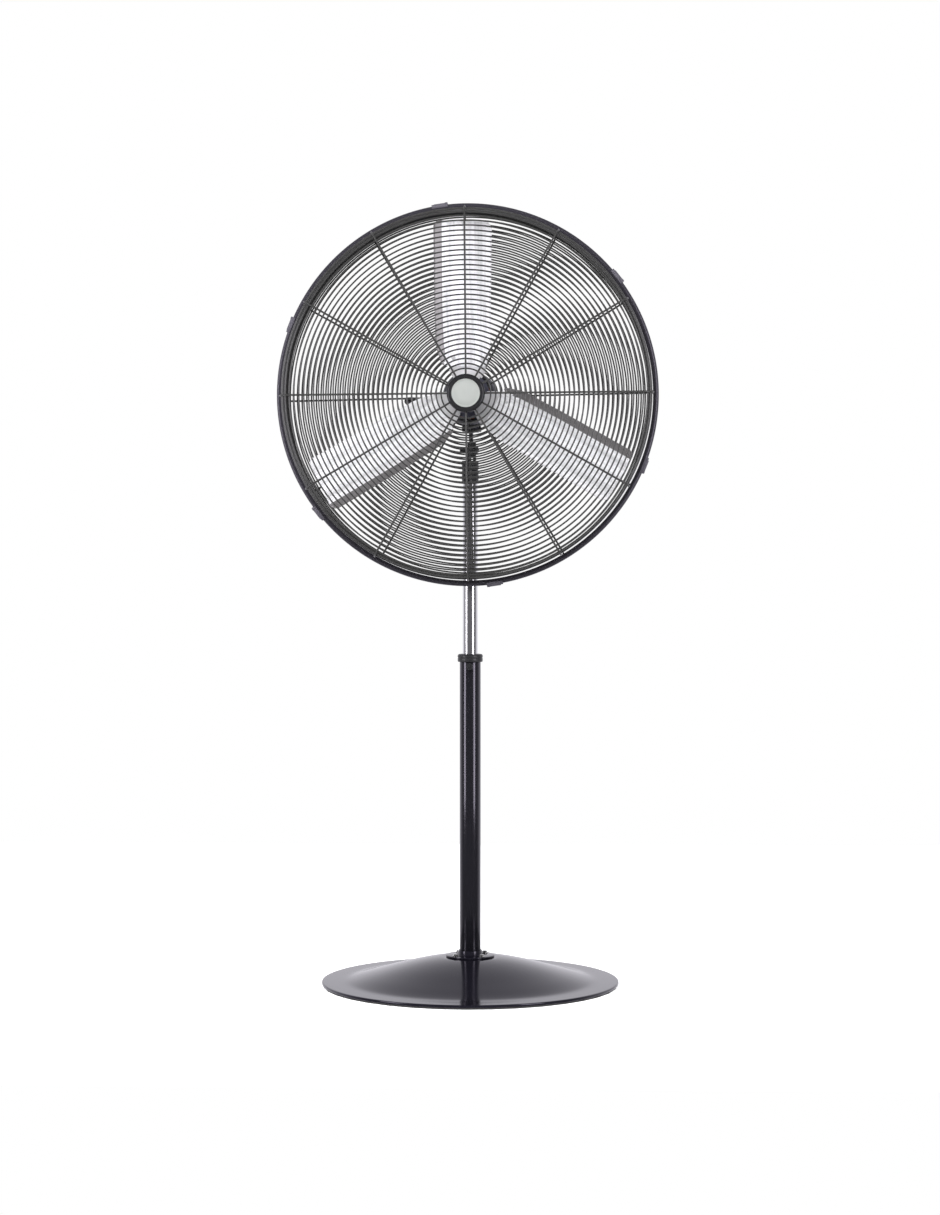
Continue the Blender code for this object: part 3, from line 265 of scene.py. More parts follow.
def makeSkinGroup():
    # colour mottle, roughness drift, fine relief and paler worn edges
    floatKind, colourKind, vectorKind = "NodeSocketFloat", "NodeSocketColor", "NodeSocketVector"
    tree, enter, leave = newGroup(
        "enamelSkin",
        [
            ("Colour", colourKind, (0.02, 0.02, 0.02, 1)),
            ("Worn Colour", colourKind, (0.1, 0.1, 0.1, 1)),
            ("Mottle", floatKind, 0.2),
            ("Wear", floatKind, 0.3),
            ("Roughness", floatKind, 0.3),
            ("Roughness Drift", floatKind, 0.1),
            ("Grain Scale", floatKind, 900.0),
            ("Relief", floatKind, 0.1),
        ],
        [("Colour", colourKind), ("Roughness", floatKind), ("Normal", vectorKind)],
    )
    links = tree.links
    place = node(tree, "ShaderNodeTexCoord").outputs["Object"]
    broad = node(tree, "ShaderNodeTexNoise", Scale=14.0, Detail=4.0, Roughness=0.6)
    fine = node(tree, "ShaderNodeTexNoise", Detail=2.0, Roughness=0.5)
    smears = node(tree, "ShaderNodeTexNoise", Scale=46.0, Detail=5.0, Roughness=0.7)
    for texture in (broad, fine, smears):
        links.new(place, texture.inputs["Vector"])
    links.new(enter.outputs["Grain Scale"], fine.inputs["Scale"])
    shade = mathNode(tree, "MULTIPLY_ADD", broad.outputs[0], enter.outputs["Mottle"])
    links.new(mathNode(tree, "SUBTRACT", 1.0, mathNode(tree, "MULTIPLY", enter.outputs["Mottle"], 0.5)),
              shade.node.inputs[2])
    tinted = node(tree, "ShaderNodeVectorMath", operation="SCALE")
    links.new(enter.outputs["Colour"], tinted.inputs[0])
    links.new(shade, tinted.inputs["Scale"])
    bend = node(tree, "ShaderNodeNewGeometry").outputs["Pointiness"]
    edge = node(tree, "ShaderNodeMapRange", From_Min=0.53, From_Max=0.62)
    links.new(bend, edge.inputs["Value"])
    broken = mathNode(tree, "MULTIPLY", edge.outputs[0], smears.outputs[0])
    worn = mathNode(tree, "MULTIPLY", broken, enter.outputs["Wear"])
    mix = node(tree, "ShaderNodeMix", data_type="RGBA")
    links.new(worn, mix.inputs["Factor"])
    links.new(tinted.outputs[0], mix.inputs["A"])
    links.new(enter.outputs["Worn Colour"], mix.inputs["B"])
    links.new(mix.outputs["Result"], leave.inputs["Colour"])
    drift = mathNode(tree, "MULTIPLY", mathNode(tree, "SUBTRACT", smears.outputs[0], 0.5),
                     enter.outputs["Roughness Drift"])
    rough = mathNode(tree, "ADD", enter.outputs["Roughness"], drift)
    links.new(rough, leave.inputs["Roughness"])
    bump = node(tree, "ShaderNodeBump", Distance=0.0002)
    links.new(enter.outputs["Relief"], bump.inputs["Strength"])
    links.new(fine.outputs[0], bump.inputs["Height"])
    links.new(bump.outputs[0], leave.inputs["Normal"])
    return tree


def makeBrushGroup():
    # long fine lines with faint broad bands, along the second coordinate of the vector given
    floatKind, colourKind, vectorKind = "NodeSocketFloat", "NodeSocketColor", "NodeSocketVector"
    tree, enter, leave = newGroup(
        "drawnLines",
        [
            ("Vector", vectorKind, (0, 0, 0)),
            ("Colour", colourKind, (0.7, 0.7, 0.7, 1)),
            ("Contrast", floatKind, 0.2),
            ("Roughness", floatKind, 0.3),
            ("Roughness Drift", floatKind, 0.1),
            ("Relief", floatKind, 0.1),
        ],
        [("Colour", colourKind), ("Roughness", floatKind), ("Normal", vectorKind)],
    )
    links = tree.links
    stretch = node(tree, "ShaderNodeMapping")
    stretch.inputs["Scale"].default_value = (1400.0, 9.0, 1400.0)
    links.new(enter.outputs["Vector"], stretch.inputs["Vector"])
    lines = node(tree, "ShaderNodeTexNoise", Scale=1.0, Detail=3.0, Roughness=0.7)
    links.new(stretch.outputs[0], lines.inputs["Vector"])
    widen = node(tree, "ShaderNodeMapping")
    widen.inputs["Scale"].default_value = (75.0, 2.0, 75.0)
    links.new(enter.outputs["Vector"], widen.inputs["Vector"])
    bands = node(tree, "ShaderNodeTexNoise", Scale=1.0, Detail=2.0, Roughness=0.5)
    links.new(widen.outputs[0], bands.inputs["Vector"])
    both = mathNode(tree, "ADD", mathNode(tree, "MULTIPLY", lines.outputs[0], 0.4),
                    mathNode(tree, "MULTIPLY", bands.outputs[0], 0.6))
    shade = mathNode(tree, "MULTIPLY_ADD", mathNode(tree, "SUBTRACT", both, 0.5), enter.outputs["Contrast"])
    shade.node.inputs[2].default_value = 1.0
    tinted = node(tree, "ShaderNodeVectorMath", operation="SCALE")
    links.new(enter.outputs["Colour"], tinted.inputs[0])
    links.new(shade, tinted.inputs["Scale"])
    links.new(tinted.outputs[0], leave.inputs["Colour"])
    drift = mathNode(tree, "MULTIPLY", mathNode(tree, "SUBTRACT", both, 0.5), enter.outputs["Roughness Drift"])
    links.new(mathNode(tree, "ADD", enter.outputs["Roughness"], drift), leave.inputs["Roughness"])
    bump = node(tree, "ShaderNodeBump", Distance=0.0001)
    links.new(enter.outputs["Relief"], bump.inputs["Strength"])
    links.new(lines.outputs[0], bump.inputs["Height"])
    links.new(bump.outputs[0], leave.inputs["Normal"])
    return tree


skinGroup = makeSkinGroup()
brushGroup = makeBrushGroup()


def finishFrom(name, slotName, group, values, metallic=0.0, vector=None, **shader):
    # one material: a shared effect feeding a Principled shader
    material = bpy.data.materials.new(name)
    material.use_nodes = True
    tree = material.node_tree
    surface = tree.nodes["Principled BSDF"]
    effect = tree.nodes.new("ShaderNodeGroup")
    effect.node_tree = group
    for label, value in values.items():
        effect.inputs[label].default_value = value
    if vector:
        coordinates = tree.nodes.new("ShaderNodeTexCoord")
        tree.links.new(coordinates.outputs[vector], effect.inputs["Vector"])
    tree.links.new(effect.outputs["Colour"], surface.inputs["Base Color"])
    tree.links.new(effect.outputs["Roughness"], surface.inputs["Roughness"])
    tree.links.new(effect.outputs["Normal"], surface.inputs["Normal"])
    surface.inputs["Metallic"].default_value = metallic
    for label, value in shader.items():
        surface.inputs[label.replace("_", " ")].default_value = value
    return {"material": material, "slot": slotName}


def skin(name, slotName, colour, worn, mottle, wear, roughness, drift, scale, relief, **shader):
    values = {
        "Colour": (*colour, 1), "Worn Colour": (*worn, 1), "Mottle": mottle, "Wear": wear,
        "Roughness": roughness, "Roughness Drift": drift, "Grain Scale": scale, "Relief": relief,
    }
    return finishFrom(name, slotName, skinGroup, values, **shader)


def brushed(name, slotName, colour, contrast, roughness, drift, relief, **shader):
    values = {
        "Colour": (*colour, 1), "Contrast": contrast, "Roughness": roughness,
        "Roughness Drift": drift, "Relief": relief,
    }
    return finishFrom(name, slotName, brushGroup, values, **shader)


violetSheen = (0.91, 0.87, 1.0, 1)
glossBlack = skin(
    "glossBlackEnamel", "gloss_black",
    (0.005, 0.0047, 0.0075), (0.06, 0.06, 0.065), 0.3, 0.15, 0.12, 0.04, 420.0, 0.002,
    Specular_Tint=violetSheen,
)
poleBlack = skin(
    "poleBlackEnamel", "gloss_black",
    (0.003, 0.003, 0.004), (0.06, 0.06, 0.065), 0.3, 0.15, 0.17, 0.04, 420.0, 0.002,
    Specular_Tint=violetSheen, Specular_IOR_Level=0.9,
)
satinBlack = skin(
    "satinBlackPaint", "satin_black",
    (0.014, 0.014, 0.016), (0.09, 0.09, 0.09), 0.4, 0.3, 0.36, 0.14, 1300.0, 0.12,
)
wireEnamel = skin(
    "wireEnamel", "guard_enamel",
    (0.022, 0.022, 0.021), (0.09, 0.09, 0.09), 0.4, 0.25, 0.32, 0.12, 1100.0, 0.04,
)
bandEnamel = skin(
    "bandEnamel", "rim_enamel",
    (0.018, 0.017, 0.021), (0.16, 0.15, 0.17), 0.25, 0.3, 0.36, 0.1, 1500.0, 0.04,
    Specular_Tint=violetSheen, Specular_IOR_Level=0.85,
)
motorEnamel = skin(
    "motorEnamel", "motor_enamel",
    (0.04, 0.04, 0.055), (0.2, 0.2, 0.22), 0.35, 0.35, 0.38, 0.14, 1000.0, 0.16,
)
mouldedPlastic = skin(
    "mouldedPlastic", "black_plastic",
    (0.013, 0.013, 0.014), (0.05, 0.05, 0.05), 0.3, 0.25, 0.38, 0.1, 2200.0, 0.04,
)
glossPlastic = skin(
    "glossPlastic", "gloss_plastic",
    (0.01, 0.01, 0.011), (0.05, 0.05, 0.05), 0.3, 0.2, 0.2, 0.08, 1400.0, 0.05,
)
footRubber = skin(
    "footRubber", "rubber",
    (0.022, 0.022, 0.022), (0.08, 0.08, 0.08), 0.5, 0.4, 0.82, 0.12, 1600.0, 0.4,
)
castIron = skin(
    "castIron", "cast_iron",
    (0.1, 0.095, 0.09), (0.22, 0.2, 0.18), 0.7, 0.4, 0.68, 0.2, 380.0, 0.8, metallic=0.7,
)
chromePlate = skin(
    "chromePlate", "chrome",
    (0.72, 0.72, 0.73), (0.6, 0.6, 0.6), 0.05, 0.0, 0.17, 0.04, 500.0, 0.001, metallic=1.0,
)
zincPlate = skin(
    "zincPlate", "zinc",
    (0.58, 0.58, 0.57), (0.75, 0.75, 0.74), 0.25, 0.4, 0.28, 0.14, 900.0, 0.12, metallic=1.0,
)
clipZinc = skin(
    "clipZinc", "zinc",
    (0.085, 0.08, 0.098), (0.3, 0.3, 0.32), 0.3, 0.4, 0.34, 0.14, 900.0, 0.06, metallic=0.4,
)
rolledSheet = brushed(
    "rolledSheet", "aluminium",
    (0.84, 0.845, 0.86), 2.2, 0.38, 0.16, 0.03, metallic=0.35, vector="UV",
)
# a darker copy of the blade sheet for the folded strip: painted shade, where the strip turns away from the light
paintedShadeFold = brushed(
    "paintedShadeFold", "aluminium",
    (0.32, 0.31, 0.31), 1.0, 0.34, 0.16, 0.03, metallic=0.75, vector="UV",
)
rivetAlloy = skin(
    "rivetAlloy", "aluminium",
    (0.66, 0.66, 0.67), (0.8, 0.8, 0.8), 0.2, 0.4, 0.36, 0.14, 1200.0, 0.05, metallic=0.45,
)
silverFoil = brushed(
    "silverFoil", "silver_badge",
    (0.29, 0.305, 0.29), 0.1, 0.42, 0.1, 0.03, metallic=0.3, vector="Object",
)
varnishedCopper = brushed(
    "varnishedCopper", "copper",
    (0.5, 0.15, 0.06), 0.9, 0.32, 0.2, 0.9, metallic=0.85, vector="Object",
)
stackedSteel = brushed(
    "stackedSteel", "lamination_steel",
    (0.26, 0.26, 0.26), 0.6, 0.5, 0.2, 0.8, metallic=0.9, vector="Object",
)
greyCan = skin(
    "greyCan", "capacitor_skin",
    (0.42, 0.42, 0.4), (0.6, 0.6, 0.58), 0.2, 0.2, 0.45, 0.1, 900.0, 0.1,
)
print("materials are made")

# Base: a smooth spun dish on a rubber ring, with a flange and four bolts

dishSizes = {
    "radius": 0.3198, "lip": 0.0038, "sheet": 0.0014, "hole": 0.0115,
    "top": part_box("base_dish")[1].z, "brim": 0.0096, "foot": 0.268,
}


def makeDish():
    top, brim, foot = dishSizes["top"], dishSizes["brim"], dishSizes["foot"]
    rise = top - brim
    profile = [(dishSizes["hole"], top), (0.04, top), (0.06, top - 0.0002), (0.066, top - 0.0008)]
    slope = [(0.3, 0.945), (0.38, 0.87), (0.5, 0.725), (0.62, 0.555), (0.72, 0.405),
             (0.82, 0.262), (0.89, 0.155), (0.94, 0.085), (0.975, 0.042), (1.0, 0.024)]
    profile += [(foot * share, brim + rise * height) for share, height in slope]
    profile += [(foot + 0.01, brim + 0.0006), (0.292, brim + 0.0004), (0.312, brim), (0.319, brim - 0.0001)]
    profile += [(dishSizes["radius"], brim - 0.001), (dishSizes["radius"], dishSizes["lip"])]
    bm = spunShape(profile, steps=96, closed=False)
    for face in bm.faces:
        if face.normal.z < -0.2:
            bmesh.ops.reverse_faces(bm, faces=bm.faces[:])
            break
    dish = pieceFrom("dishShell", bm, "base", glossBlack, ["base_dish"], smooth=60)
    wall = dish.modifiers.new("wall", "SOLIDIFY")
    wall.thickness = dishSizes["sheet"]
    wall.offset = -1
    smooth = dish.modifiers.new("smooth", "SUBSURF")
    smooth.levels = smooth.render_levels = 1


makeDish()

flangeSizes = {"radius": 0.052, "socket": 0.0258, "bore": 0.0228, "circle": 0.04, "head": 0.0055}


def makeFlange():
    low, high = (corner.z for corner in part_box("pole_flange"))
    face = low + 0.0036
    radius, socket, bore = (flangeSizes[part] for part in ("radius", "socket", "bore"))
    profile = [(bore, low), (radius, low), (radius, face), (socket + 0.0022, face), (socket, face + 0.0022),
               (socket, high), (bore, high)]
    bm = softenEdges(spunShape(profile, 96), 0.0006, 3)
    pieceFrom("poleFlange", bm, "base", glossBlack, ["pole_flange"])
    for i in range(4):
        angle = math.radians(40 + 90 * i)
        circle = flangeSizes["circle"]
        spot = Matrix.Translation((circle * math.cos(angle), circle * math.sin(angle), 0))
        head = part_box(f"flange_bolt_{i + 1}")[1].z
        washer = sleeveShape(0.0033, 0.0068, face + 0.0002, face + 0.0012, 0.0003)
        cap = hexShape(flangeSizes["head"], face + 0.0013, head, 0.0007)
        shank = rodShape(0.0029, head - 0.022, face + 0.002, 16)
        bolt = moved(added(washer, cap, shank), spot @ Matrix.Rotation(0.4 * i, 4, "Z"))
        pieceFrom(f"flangeBolt{i + 1}", bolt, "base", zincPlate, [f"flange_bolt_{i + 1}"])


makeFlange()
print("base is made")

# Column: a black outer tube with its collar and lock, and a chromed inner tube

tubeSizes = {"outer": 0.0225, "outerWall": 0.0015, "inner": 0.016, "innerWall": 0.0012, "slide": 0.0164}


def tubeShape(nodeName, radius, wall):
    low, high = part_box(nodeName)
    return sleeveShape(radius - wall, radius, low.z, high.z, 0.0004, 80)


def makeColumn():
    bm = tubeShape("outer_tube", tubeSizes["outer"], tubeSizes["outerWall"])
    pieceFrom("outerTube", bm, "base", poleBlack, ["outer_tube"])
    bm = tubeShape("inner_tube", tubeSizes["inner"], tubeSizes["innerWall"])
    pieceFrom("innerTube", bm, "mast", chromePlate, ["inner_tube"])

    low, high = (corner.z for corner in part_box("tube_collar"))
    inside, seat = tubeSizes["slide"], tubeSizes["outer"] + 0.0003
    profile = [(inside, high - 0.0004), (0.0205, high), (0.0248, high - 0.0006), (0.0265, high - 0.0022),
               (0.027, high - 0.0042), (0.027, high - 0.0072), (0.0262, high - 0.0078), (0.0262, high - 0.0086),
               (0.0269, high - 0.0092), (0.0269, low + 0.0012), (0.0262, low), (seat, low), (seat, high - 0.0086),
               (inside, high - 0.0086)]
    bm = softenEdges(spunShape(profile, 80), 0.0003)
    pieceFrom("tubeCollar", bm, "base", mouldedPlastic, ["tube_collar"])

    screwHigh = joints["height_lock_turn"]["pos_m"][2]
    place = alongY(0, 0, screwHigh)
    profile = [(0.0033, 0.0223), (0.007, 0.021), (0.007, 0.0293), (0.0033, 0.0293)]
    boss = softenEdges(spunShape(profile, 32), 0.0005)
    pieceFrom("heightLockBoss", moved(boss, place), "base", glossBlack, ["height_lock_nut"])
    profile = [(0, 0.0163), (0.0026, 0.0163), (0.003, 0.017), (0.003, 0.03), (0, 0.03)]
    shank = spunShape(profile, 20, closed=False)
    knob = flutedShape(0.0075, 0.0296, 0.0404, 10, 0.0007)
    pieceFrom("heightLockKnob", moved(added(shank, knob), place), "height_lock", mouldedPlastic,
              ["height_lock_screw"])


makeColumn()
print("column is made")

# Neck: a sleeve with two ears, the tilt clamp and the swivel lock

neckSizes = {"sleeve": 0.018, "bore": 0.0163, "ear": 0.017, "earWall": 0.0062, "tongue": 0.005, "middle": 0.0035}


def earPlate(middle, thickness, outline):
    # an outline of y and z standing across x
    stand = Matrix(((0, 0, 1, middle), (1, 0, 0, 0), (0, 1, 0, 0), (0, 0, 0, 1)))
    return moved(slabShape(outline, -thickness / 2, thickness / 2, 0.0008), stand)


def makeNeck():
    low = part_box("neck_fork")[0].z
    top = low + 0.048
    sleeve, bore = neckSizes["sleeve"], neckSizes["bore"]
    profile = [(0, top), (sleeve - 0.0012, top), (sleeve, top - 0.0012), (sleeve, low + 0.03),
               (sleeve - 0.0006, low + 0.029), (sleeve - 0.0006, low + 0.027), (sleeve, low + 0.026),
               (sleeve, low + 0.006), (sleeve - 0.0005, low + 0.005), (sleeve - 0.0005, low + 0.0035),
               (sleeve, low + 0.0025), (sleeve - 0.0008, low), (bore, low), (bore, low + 0.039), (0, low + 0.039)]
    body = softenEdges(spunShape(profile, 64, closed=False), 0.0004)
    reach = neckSizes["tongue"] / 2 + 0.0003 + neckSizes["earWall"] / 2
    ears = []
    for side in (-1, 1):
        outline = arcPoints((0, pivotHeight), neckSizes["ear"] - 0.0002, 0, 180, 24)
        outline += [(-neckSizes["ear"] + 0.002, top - 0.006), (neckSizes["ear"] - 0.002, top - 0.006)]
        ears.append(earPlate(neckSizes["middle"] + side * reach, neckSizes["earWall"], outline))
    lock = low + 0.018
    boss = moved(sleeveShape(0.0033, 0.0072, 0.017, 0.023, 0.0005), alongY(0, 0, lock, forward=False))
    pieceFrom("neckFork", added(body, *ears, boss), "neck", satinBlack, ["neck_fork"])

    shank = rodShape(0.003, 0.0163, 0.0236)
    knob = flutedShape(0.0085, 0.0233, 0.0352, 10, 0.0009)
    place = alongY(0, 0, lock, forward=False)
    pieceFrom("swivelLockKnob", moved(added(shank, knob), place), "swivel_lock", mouldedPlastic,
              ["swivel_lock_screw"])

    boltLow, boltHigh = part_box("tilt_lock_screw")
    shank = moved(rodShape(0.0039, 0, boltHigh.x - boltLow.x - 0.012, 24), alongX(boltLow.x + 0.012, 0, pivotHeight))
    knob = moved(flutedShape(0.0065, 0, 0.0163, 8, 0.0006), alongX(boltLow.x + 0.0164, 0, pivotHeight, right=False))
    pieceFrom("tiltLockKnob", added(shank, knob), "tilt_lock", mouldedPlastic, ["tilt_lock_screw"])
    nutLow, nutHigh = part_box("tilt_nut")
    nut = moved(hexShape(0.0085, 0, nutHigh.x - nutLow.x, 0.0007), alongX(nutLow.x, 0, pivotHeight))
    pieceFrom("tiltNut", nut, "neck", zincPlate, ["tilt_nut"])

    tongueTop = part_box("tilt_tongue")[1].z
    outline = arcPoints((0, pivotHeight), 0.0158, 180, 360, 24)
    outline += [(0.0218, tongueTop - 0.014), (0.0218, tongueTop), (-0.0218, tongueTop), (-0.0218, tongueTop - 0.014)]
    pieceFrom("tiltTongue", earPlate(neckSizes["middle"], neckSizes["tongue"], outline), "head", satinBlack,
              ["tilt_tongue"])
    for end in ("front", "rear"):
        low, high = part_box(f"tongue_bolt_{end}")
        y, z = (low.y + high.y) / 2, (low.z + high.z) / 2
        head = hexShape(0.0058, 0, 0.0052, 0.0006)
        shank = spunShape([(0, 0.004), (0.0029, 0.004), (0.0029, high.x - low.x - 0.0005), (0, high.x - low.x)], 20,
                          closed=False)
        pieceFrom(f"tongueBolt{end.title()}", moved(added(head, shank), alongX(low.x, y, z)), "head", satinBlack,
                  [f"tongue_bolt_{end}"])
        low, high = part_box(f"tongue_nut_{end}")
        pieceFrom(f"tongueNut{end.title()}", moved(hexShape(0.0062, 0, high.x - low.x, 0.0006), alongX(low.x, y, z)),
                  "head", satinBlack, [f"tongue_nut_{end}"])


makeNeck()
print("neck is made")

# Motor: a ribbed shell, two slotted bells, and the switch case behind

motorSizes = {"radius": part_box("motor_shell")[1].x, "front": 0.0297, "back": -0.045, "wall": 0.0025}


def slottedBell(profile, slotLow, slotHigh, steps, wall):
    # a spun skin whose middle ring is open between ribs, then given its wall
    bm = spunShape(profile, steps, closed=False)
    openFaces = []
    for face in bm.faces:
        centre = face.calc_center_median()
        radius = math.hypot(centre.x, centre.y)
        turn = math.atan2(centre.y, centre.x) % fullTurn
        if slotLow < radius < slotHigh and int(turn / fullTurn * steps) % 4 != 0:
            openFaces.append(face)
    bmesh.ops.delete(bm, geom=openFaces, context="FACES")
    bmesh.ops.solidify(bm, geom=bm.faces[:], thickness=wall)
    bmesh.ops.recalc_face_normals(bm, faces=bm.faces[:])
    return bm


def makeMotor():
    radius, front, back = motorSizes["radius"], motorSizes["front"], motorSizes["back"]
    bore, groove = radius - motorSizes["wall"], radius - 0.0009
    profile = [(bore, back), (radius, back), (radius, back + 0.005), (groove, back + 0.006)]
    ribs = 9
    span = front - back - 0.012
    for i in range(ribs):
        start = back + 0.006 + span * (i + 0.25) / ribs
        end = back + 0.006 + span * (i + 0.75) / ribs
        profile += [(groove, start), (radius, start + 0.0008), (radius, end - 0.0008), (groove, end)]
    profile += [(groove, front - 0.006), (radius, front - 0.005), (radius, front), (bore, front)]
    shell = spunShape(profile, 96)
    half, middle, gapX = 0.0218, 0.0035, 0.0028
    lugs = []
    for side in (-1, 1):
        outline = [(middle + side * gapX, -radius - 0.0148), (middle + side * 0.0148, -radius - 0.0148),
                   (middle + side * 0.0148, -radius + 0.0018), (middle + side * gapX, -radius + 0.0004)]
        lugs.append(slabShape(outline if side > 0 else outline[::-1], -half, half, 0.001))
    boss = softenEdges(rodShape(0.009, radius - 0.003, radius + 0.0023, 40), 0.0007)
    boss = moved(boss, Matrix.Translation((0, -0.005, -0.01)) @ Matrix.Rotation(-math.pi / 2, 4, "Y"))
    pieceFrom("motorShell", moved(added(shell, *lugs, boss), headPlace), "head", motorEnamel, ["motor_shell"])

    start = front + 0.0003
    skinProfile = [(radius, start), (radius, 0.044), (radius - 0.0008, 0.049), (radius - 0.0036, 0.054),
                   (radius - 0.008, 0.0582), (radius - 0.0125, 0.0606), (radius - 0.018, 0.0614), (0.036, 0.0616),
                   (0.033, 0.0616)]
    dome = slottedBell(skinProfile, 0.0365, radius - 0.0065, 96, 0.0022)
    seatProfile = [(0.0105, 0.059), (0.036, 0.059), (0.036, 0.069), (0.026, 0.069), (0.026, 0.0798),
                   (0.0105, 0.0798)]
    seat = softenEdges(spunShape(seatProfile, 64), 0.0005)
    housing = spunShape([(0.0179, 0.045), (0.0214, 0.045), (0.0214, 0.0592), (0.0179, 0.0592)], 48)
    pieceFrom("frontBell", moved(added(dome, seat, housing), headPlace), "head", motorEnamel, ["motor_front_bell"])

    start = back - 0.0003
    skinProfile = [(radius, start), (radius, -0.07), (radius - 0.0014, -0.0752), (radius - 0.0046, -0.079),
                   (radius - 0.009, -0.0812), (radius - 0.013, -0.0818), (radius - 0.0162, -0.0819),
                   (0.04, -0.0819), (0.001, -0.0819)]
    dome = slottedBell(skinProfile, 0.0402, radius - 0.006, 96, -0.0024)
    pieceFrom("rearBell", moved(dome, headPlace), "head", motorEnamel, ["motor_rear_bell"])

    nutBack, nutFront = depthSpan("guard_ring_nut")
    bm = bmesh.new()
    rim = bmesh.ops.create_circle(bm, cap_ends=False, segments=96, radius=0.0357)["verts"]
    for i, vert in enumerate(rim):
        if i % 8 in (0, 1):
            vert.co *= 0.955
    outer = bm.edges[:]
    bmesh.ops.create_circle(bm, cap_ends=False, segments=96, radius=0.0264)
    inner = [e for e in bm.edges if e not in outer]
    bmesh.ops.bridge_loops(bm, edges=outer + inner)
    raised = bmesh.ops.extrude_face_region(bm, geom=bm.faces[:])["geom"]
    bmesh.ops.translate(bm, verts=[g for g in raised if isinstance(g, bmesh.types.BMVert)],
                        vec=(0, 0, nutFront - nutBack))
    bmesh.ops.translate(bm, verts=bm.verts[:], vec=(0, 0, nutBack))
    bmesh.ops.recalc_face_normals(bm, faces=bm.faces[:])
    softenEdges(bm, 0.0005)
    pieceFrom("guardRingNut", moved(bm, headPlace), "head", mouldedPlastic, ["guard_ring_nut"])


makeMotor()


def makeControls():
    top, back = -0.0823, -0.117
    profile = [(0.0375, top), (0.04, top), (0.04, top - 0.006), (0.0394, top - 0.0066), (0.0394, top - 0.0078),
               (0.04, top - 0.0084), (0.04, back + 0.006), (0.0388, back + 0.0022), (0.036, back + 0.0003),
               (0.02, back), (0.0035, back), (0.0035, back + 0.0025), (0.0345, back + 0.0025),
               (0.0375, back + 0.0055)]
    case = softenEdges(spunShape(profile, 96), 0.0004)
    marks = []
    for i in range(4):
        angle = math.radians(-45 - 45 * i)
        tick = slabShape([(-0.0006, 0.0195), (0.0006, 0.0195), (0.0006, 0.0235), (-0.0006, 0.0235)], back - 0.0003,
                         back + 0.0003, 0.0001)
        marks.append(moved(tick, Matrix.Rotation(angle, 4, "Z")))
    pieceFrom("switchCase", moved(added(case, *marks), headPlace), "head", mouldedPlastic, ["switch_case"])

    knobTop = back - 0.0003
    knob = moved(flutedShape(0.0158, 0, 0.0148, 16, 0.001, 0.0007),
                 Matrix.Translation((0, 0, knobTop)) @ Matrix.Rotation(math.pi, 4, "X"))
    spindle = rodShape(0.003, back - 0.002, back + 0.002)
    pointer = slabShape([(-0.0016, 0.000), (0.0016, 0.000), (0.001, 0.0108), (-0.001, 0.0108)], knobTop - 0.0168,
                        knobTop - 0.012, 0.0004)
    pieceFrom("speedKnob", moved(added(knob, spindle, pointer), headPlace), "speed_dial", mouldedPlastic,
              ["speed_knob"])

    profile = [(0.0035, 0.0315), (0.0055, 0.0315), (0.0055, 0.0403), (0.0083, 0.0403), (0.0085, 0.044)]
    for i in range(4):
        level = 0.0452 + 0.0026 * i
        profile += [(0.0068 - 0.0003 * i, level), (0.0068 - 0.0003 * i, level + 0.0012),
                    (0.0058 - 0.0002 * i, level + 0.0016), (0.0058 - 0.0002 * i, level + 0.0024)]
    profile += [(0.0055, 0.0548), (0.0035, 0.0548)]
    place = headPlace @ Matrix.Translation((0, 0, (top + back) / 2)) @ Matrix.Rotation(math.pi / 2, 4, "X")
    pieceFrom("cordGland", moved(softenEdges(spunShape(profile, 40), 0.0002), place), "head", mouldedPlastic,
              ["cord_gland"])

    place = headPlace @ Matrix.Translation((0, -0.005, -0.01)) @ Matrix.Rotation(-math.pi / 2, 4, "Y")
    foot = motorSizes["radius"] + 0.0028
    rod = spunShape([(0, foot), (0.008, foot), (0.008, foot + 0.0024), (0.0046, foot + 0.003),
                     (0.004, foot + 0.0038), (0.004, 0.1178), (0, 0.1178)], 40, closed=False)
    pieceFrom("handleRod", moved(softenEdges(rod, 0.0004), place), "head", zincPlate, ["handle_rod"])
    curve = interpolate_bezier(Vector((0.0056, 0.1002, 0)), Vector((0.0064, 0.108, 0)), Vector((0.0088, 0.116, 0)),
                               Vector((0.0088, 0.129, 0)), 14)
    tip = interpolate_bezier(Vector((0.0088, 0.129, 0)), Vector((0.0088, 0.1375, 0)), Vector((0.0054, 0.1419, 0)),
                             Vector((0.0, 0.1419, 0)), 10)
    profile = [(0.0043, 0.1004)] + [(p.x, p.y) for p in curve] + [(p.x, p.y) for p in tip[1:]]
    profile = [(0, 0.1184), (0.0043, 0.1184)] + profile
    grip = spunShape(profile, 48, closed=False)
    pieceFrom("handleGrip", moved(grip, place), "head", glossPlastic, ["handle_grip"], smooth=50)


makeControls()
print("motor is made")

# Cage: two wire guards, the band that holds their rims, spring clips and the hub cap

cageSizes = {
    "side": 0.3853, "rimCircle": 0.3926, "rimOffset": 0.0036, "rimWire": 0.003, "depth": 0.093,
    "spoke": 0.002, "spokes": 12, "ringWire": 0.0017, "ringPitch": 0.0101, "firstRing": 0.051,
    "rings": 41, "ringSides": 7, "ringSteps": 144, "weld": 0.0003,
}


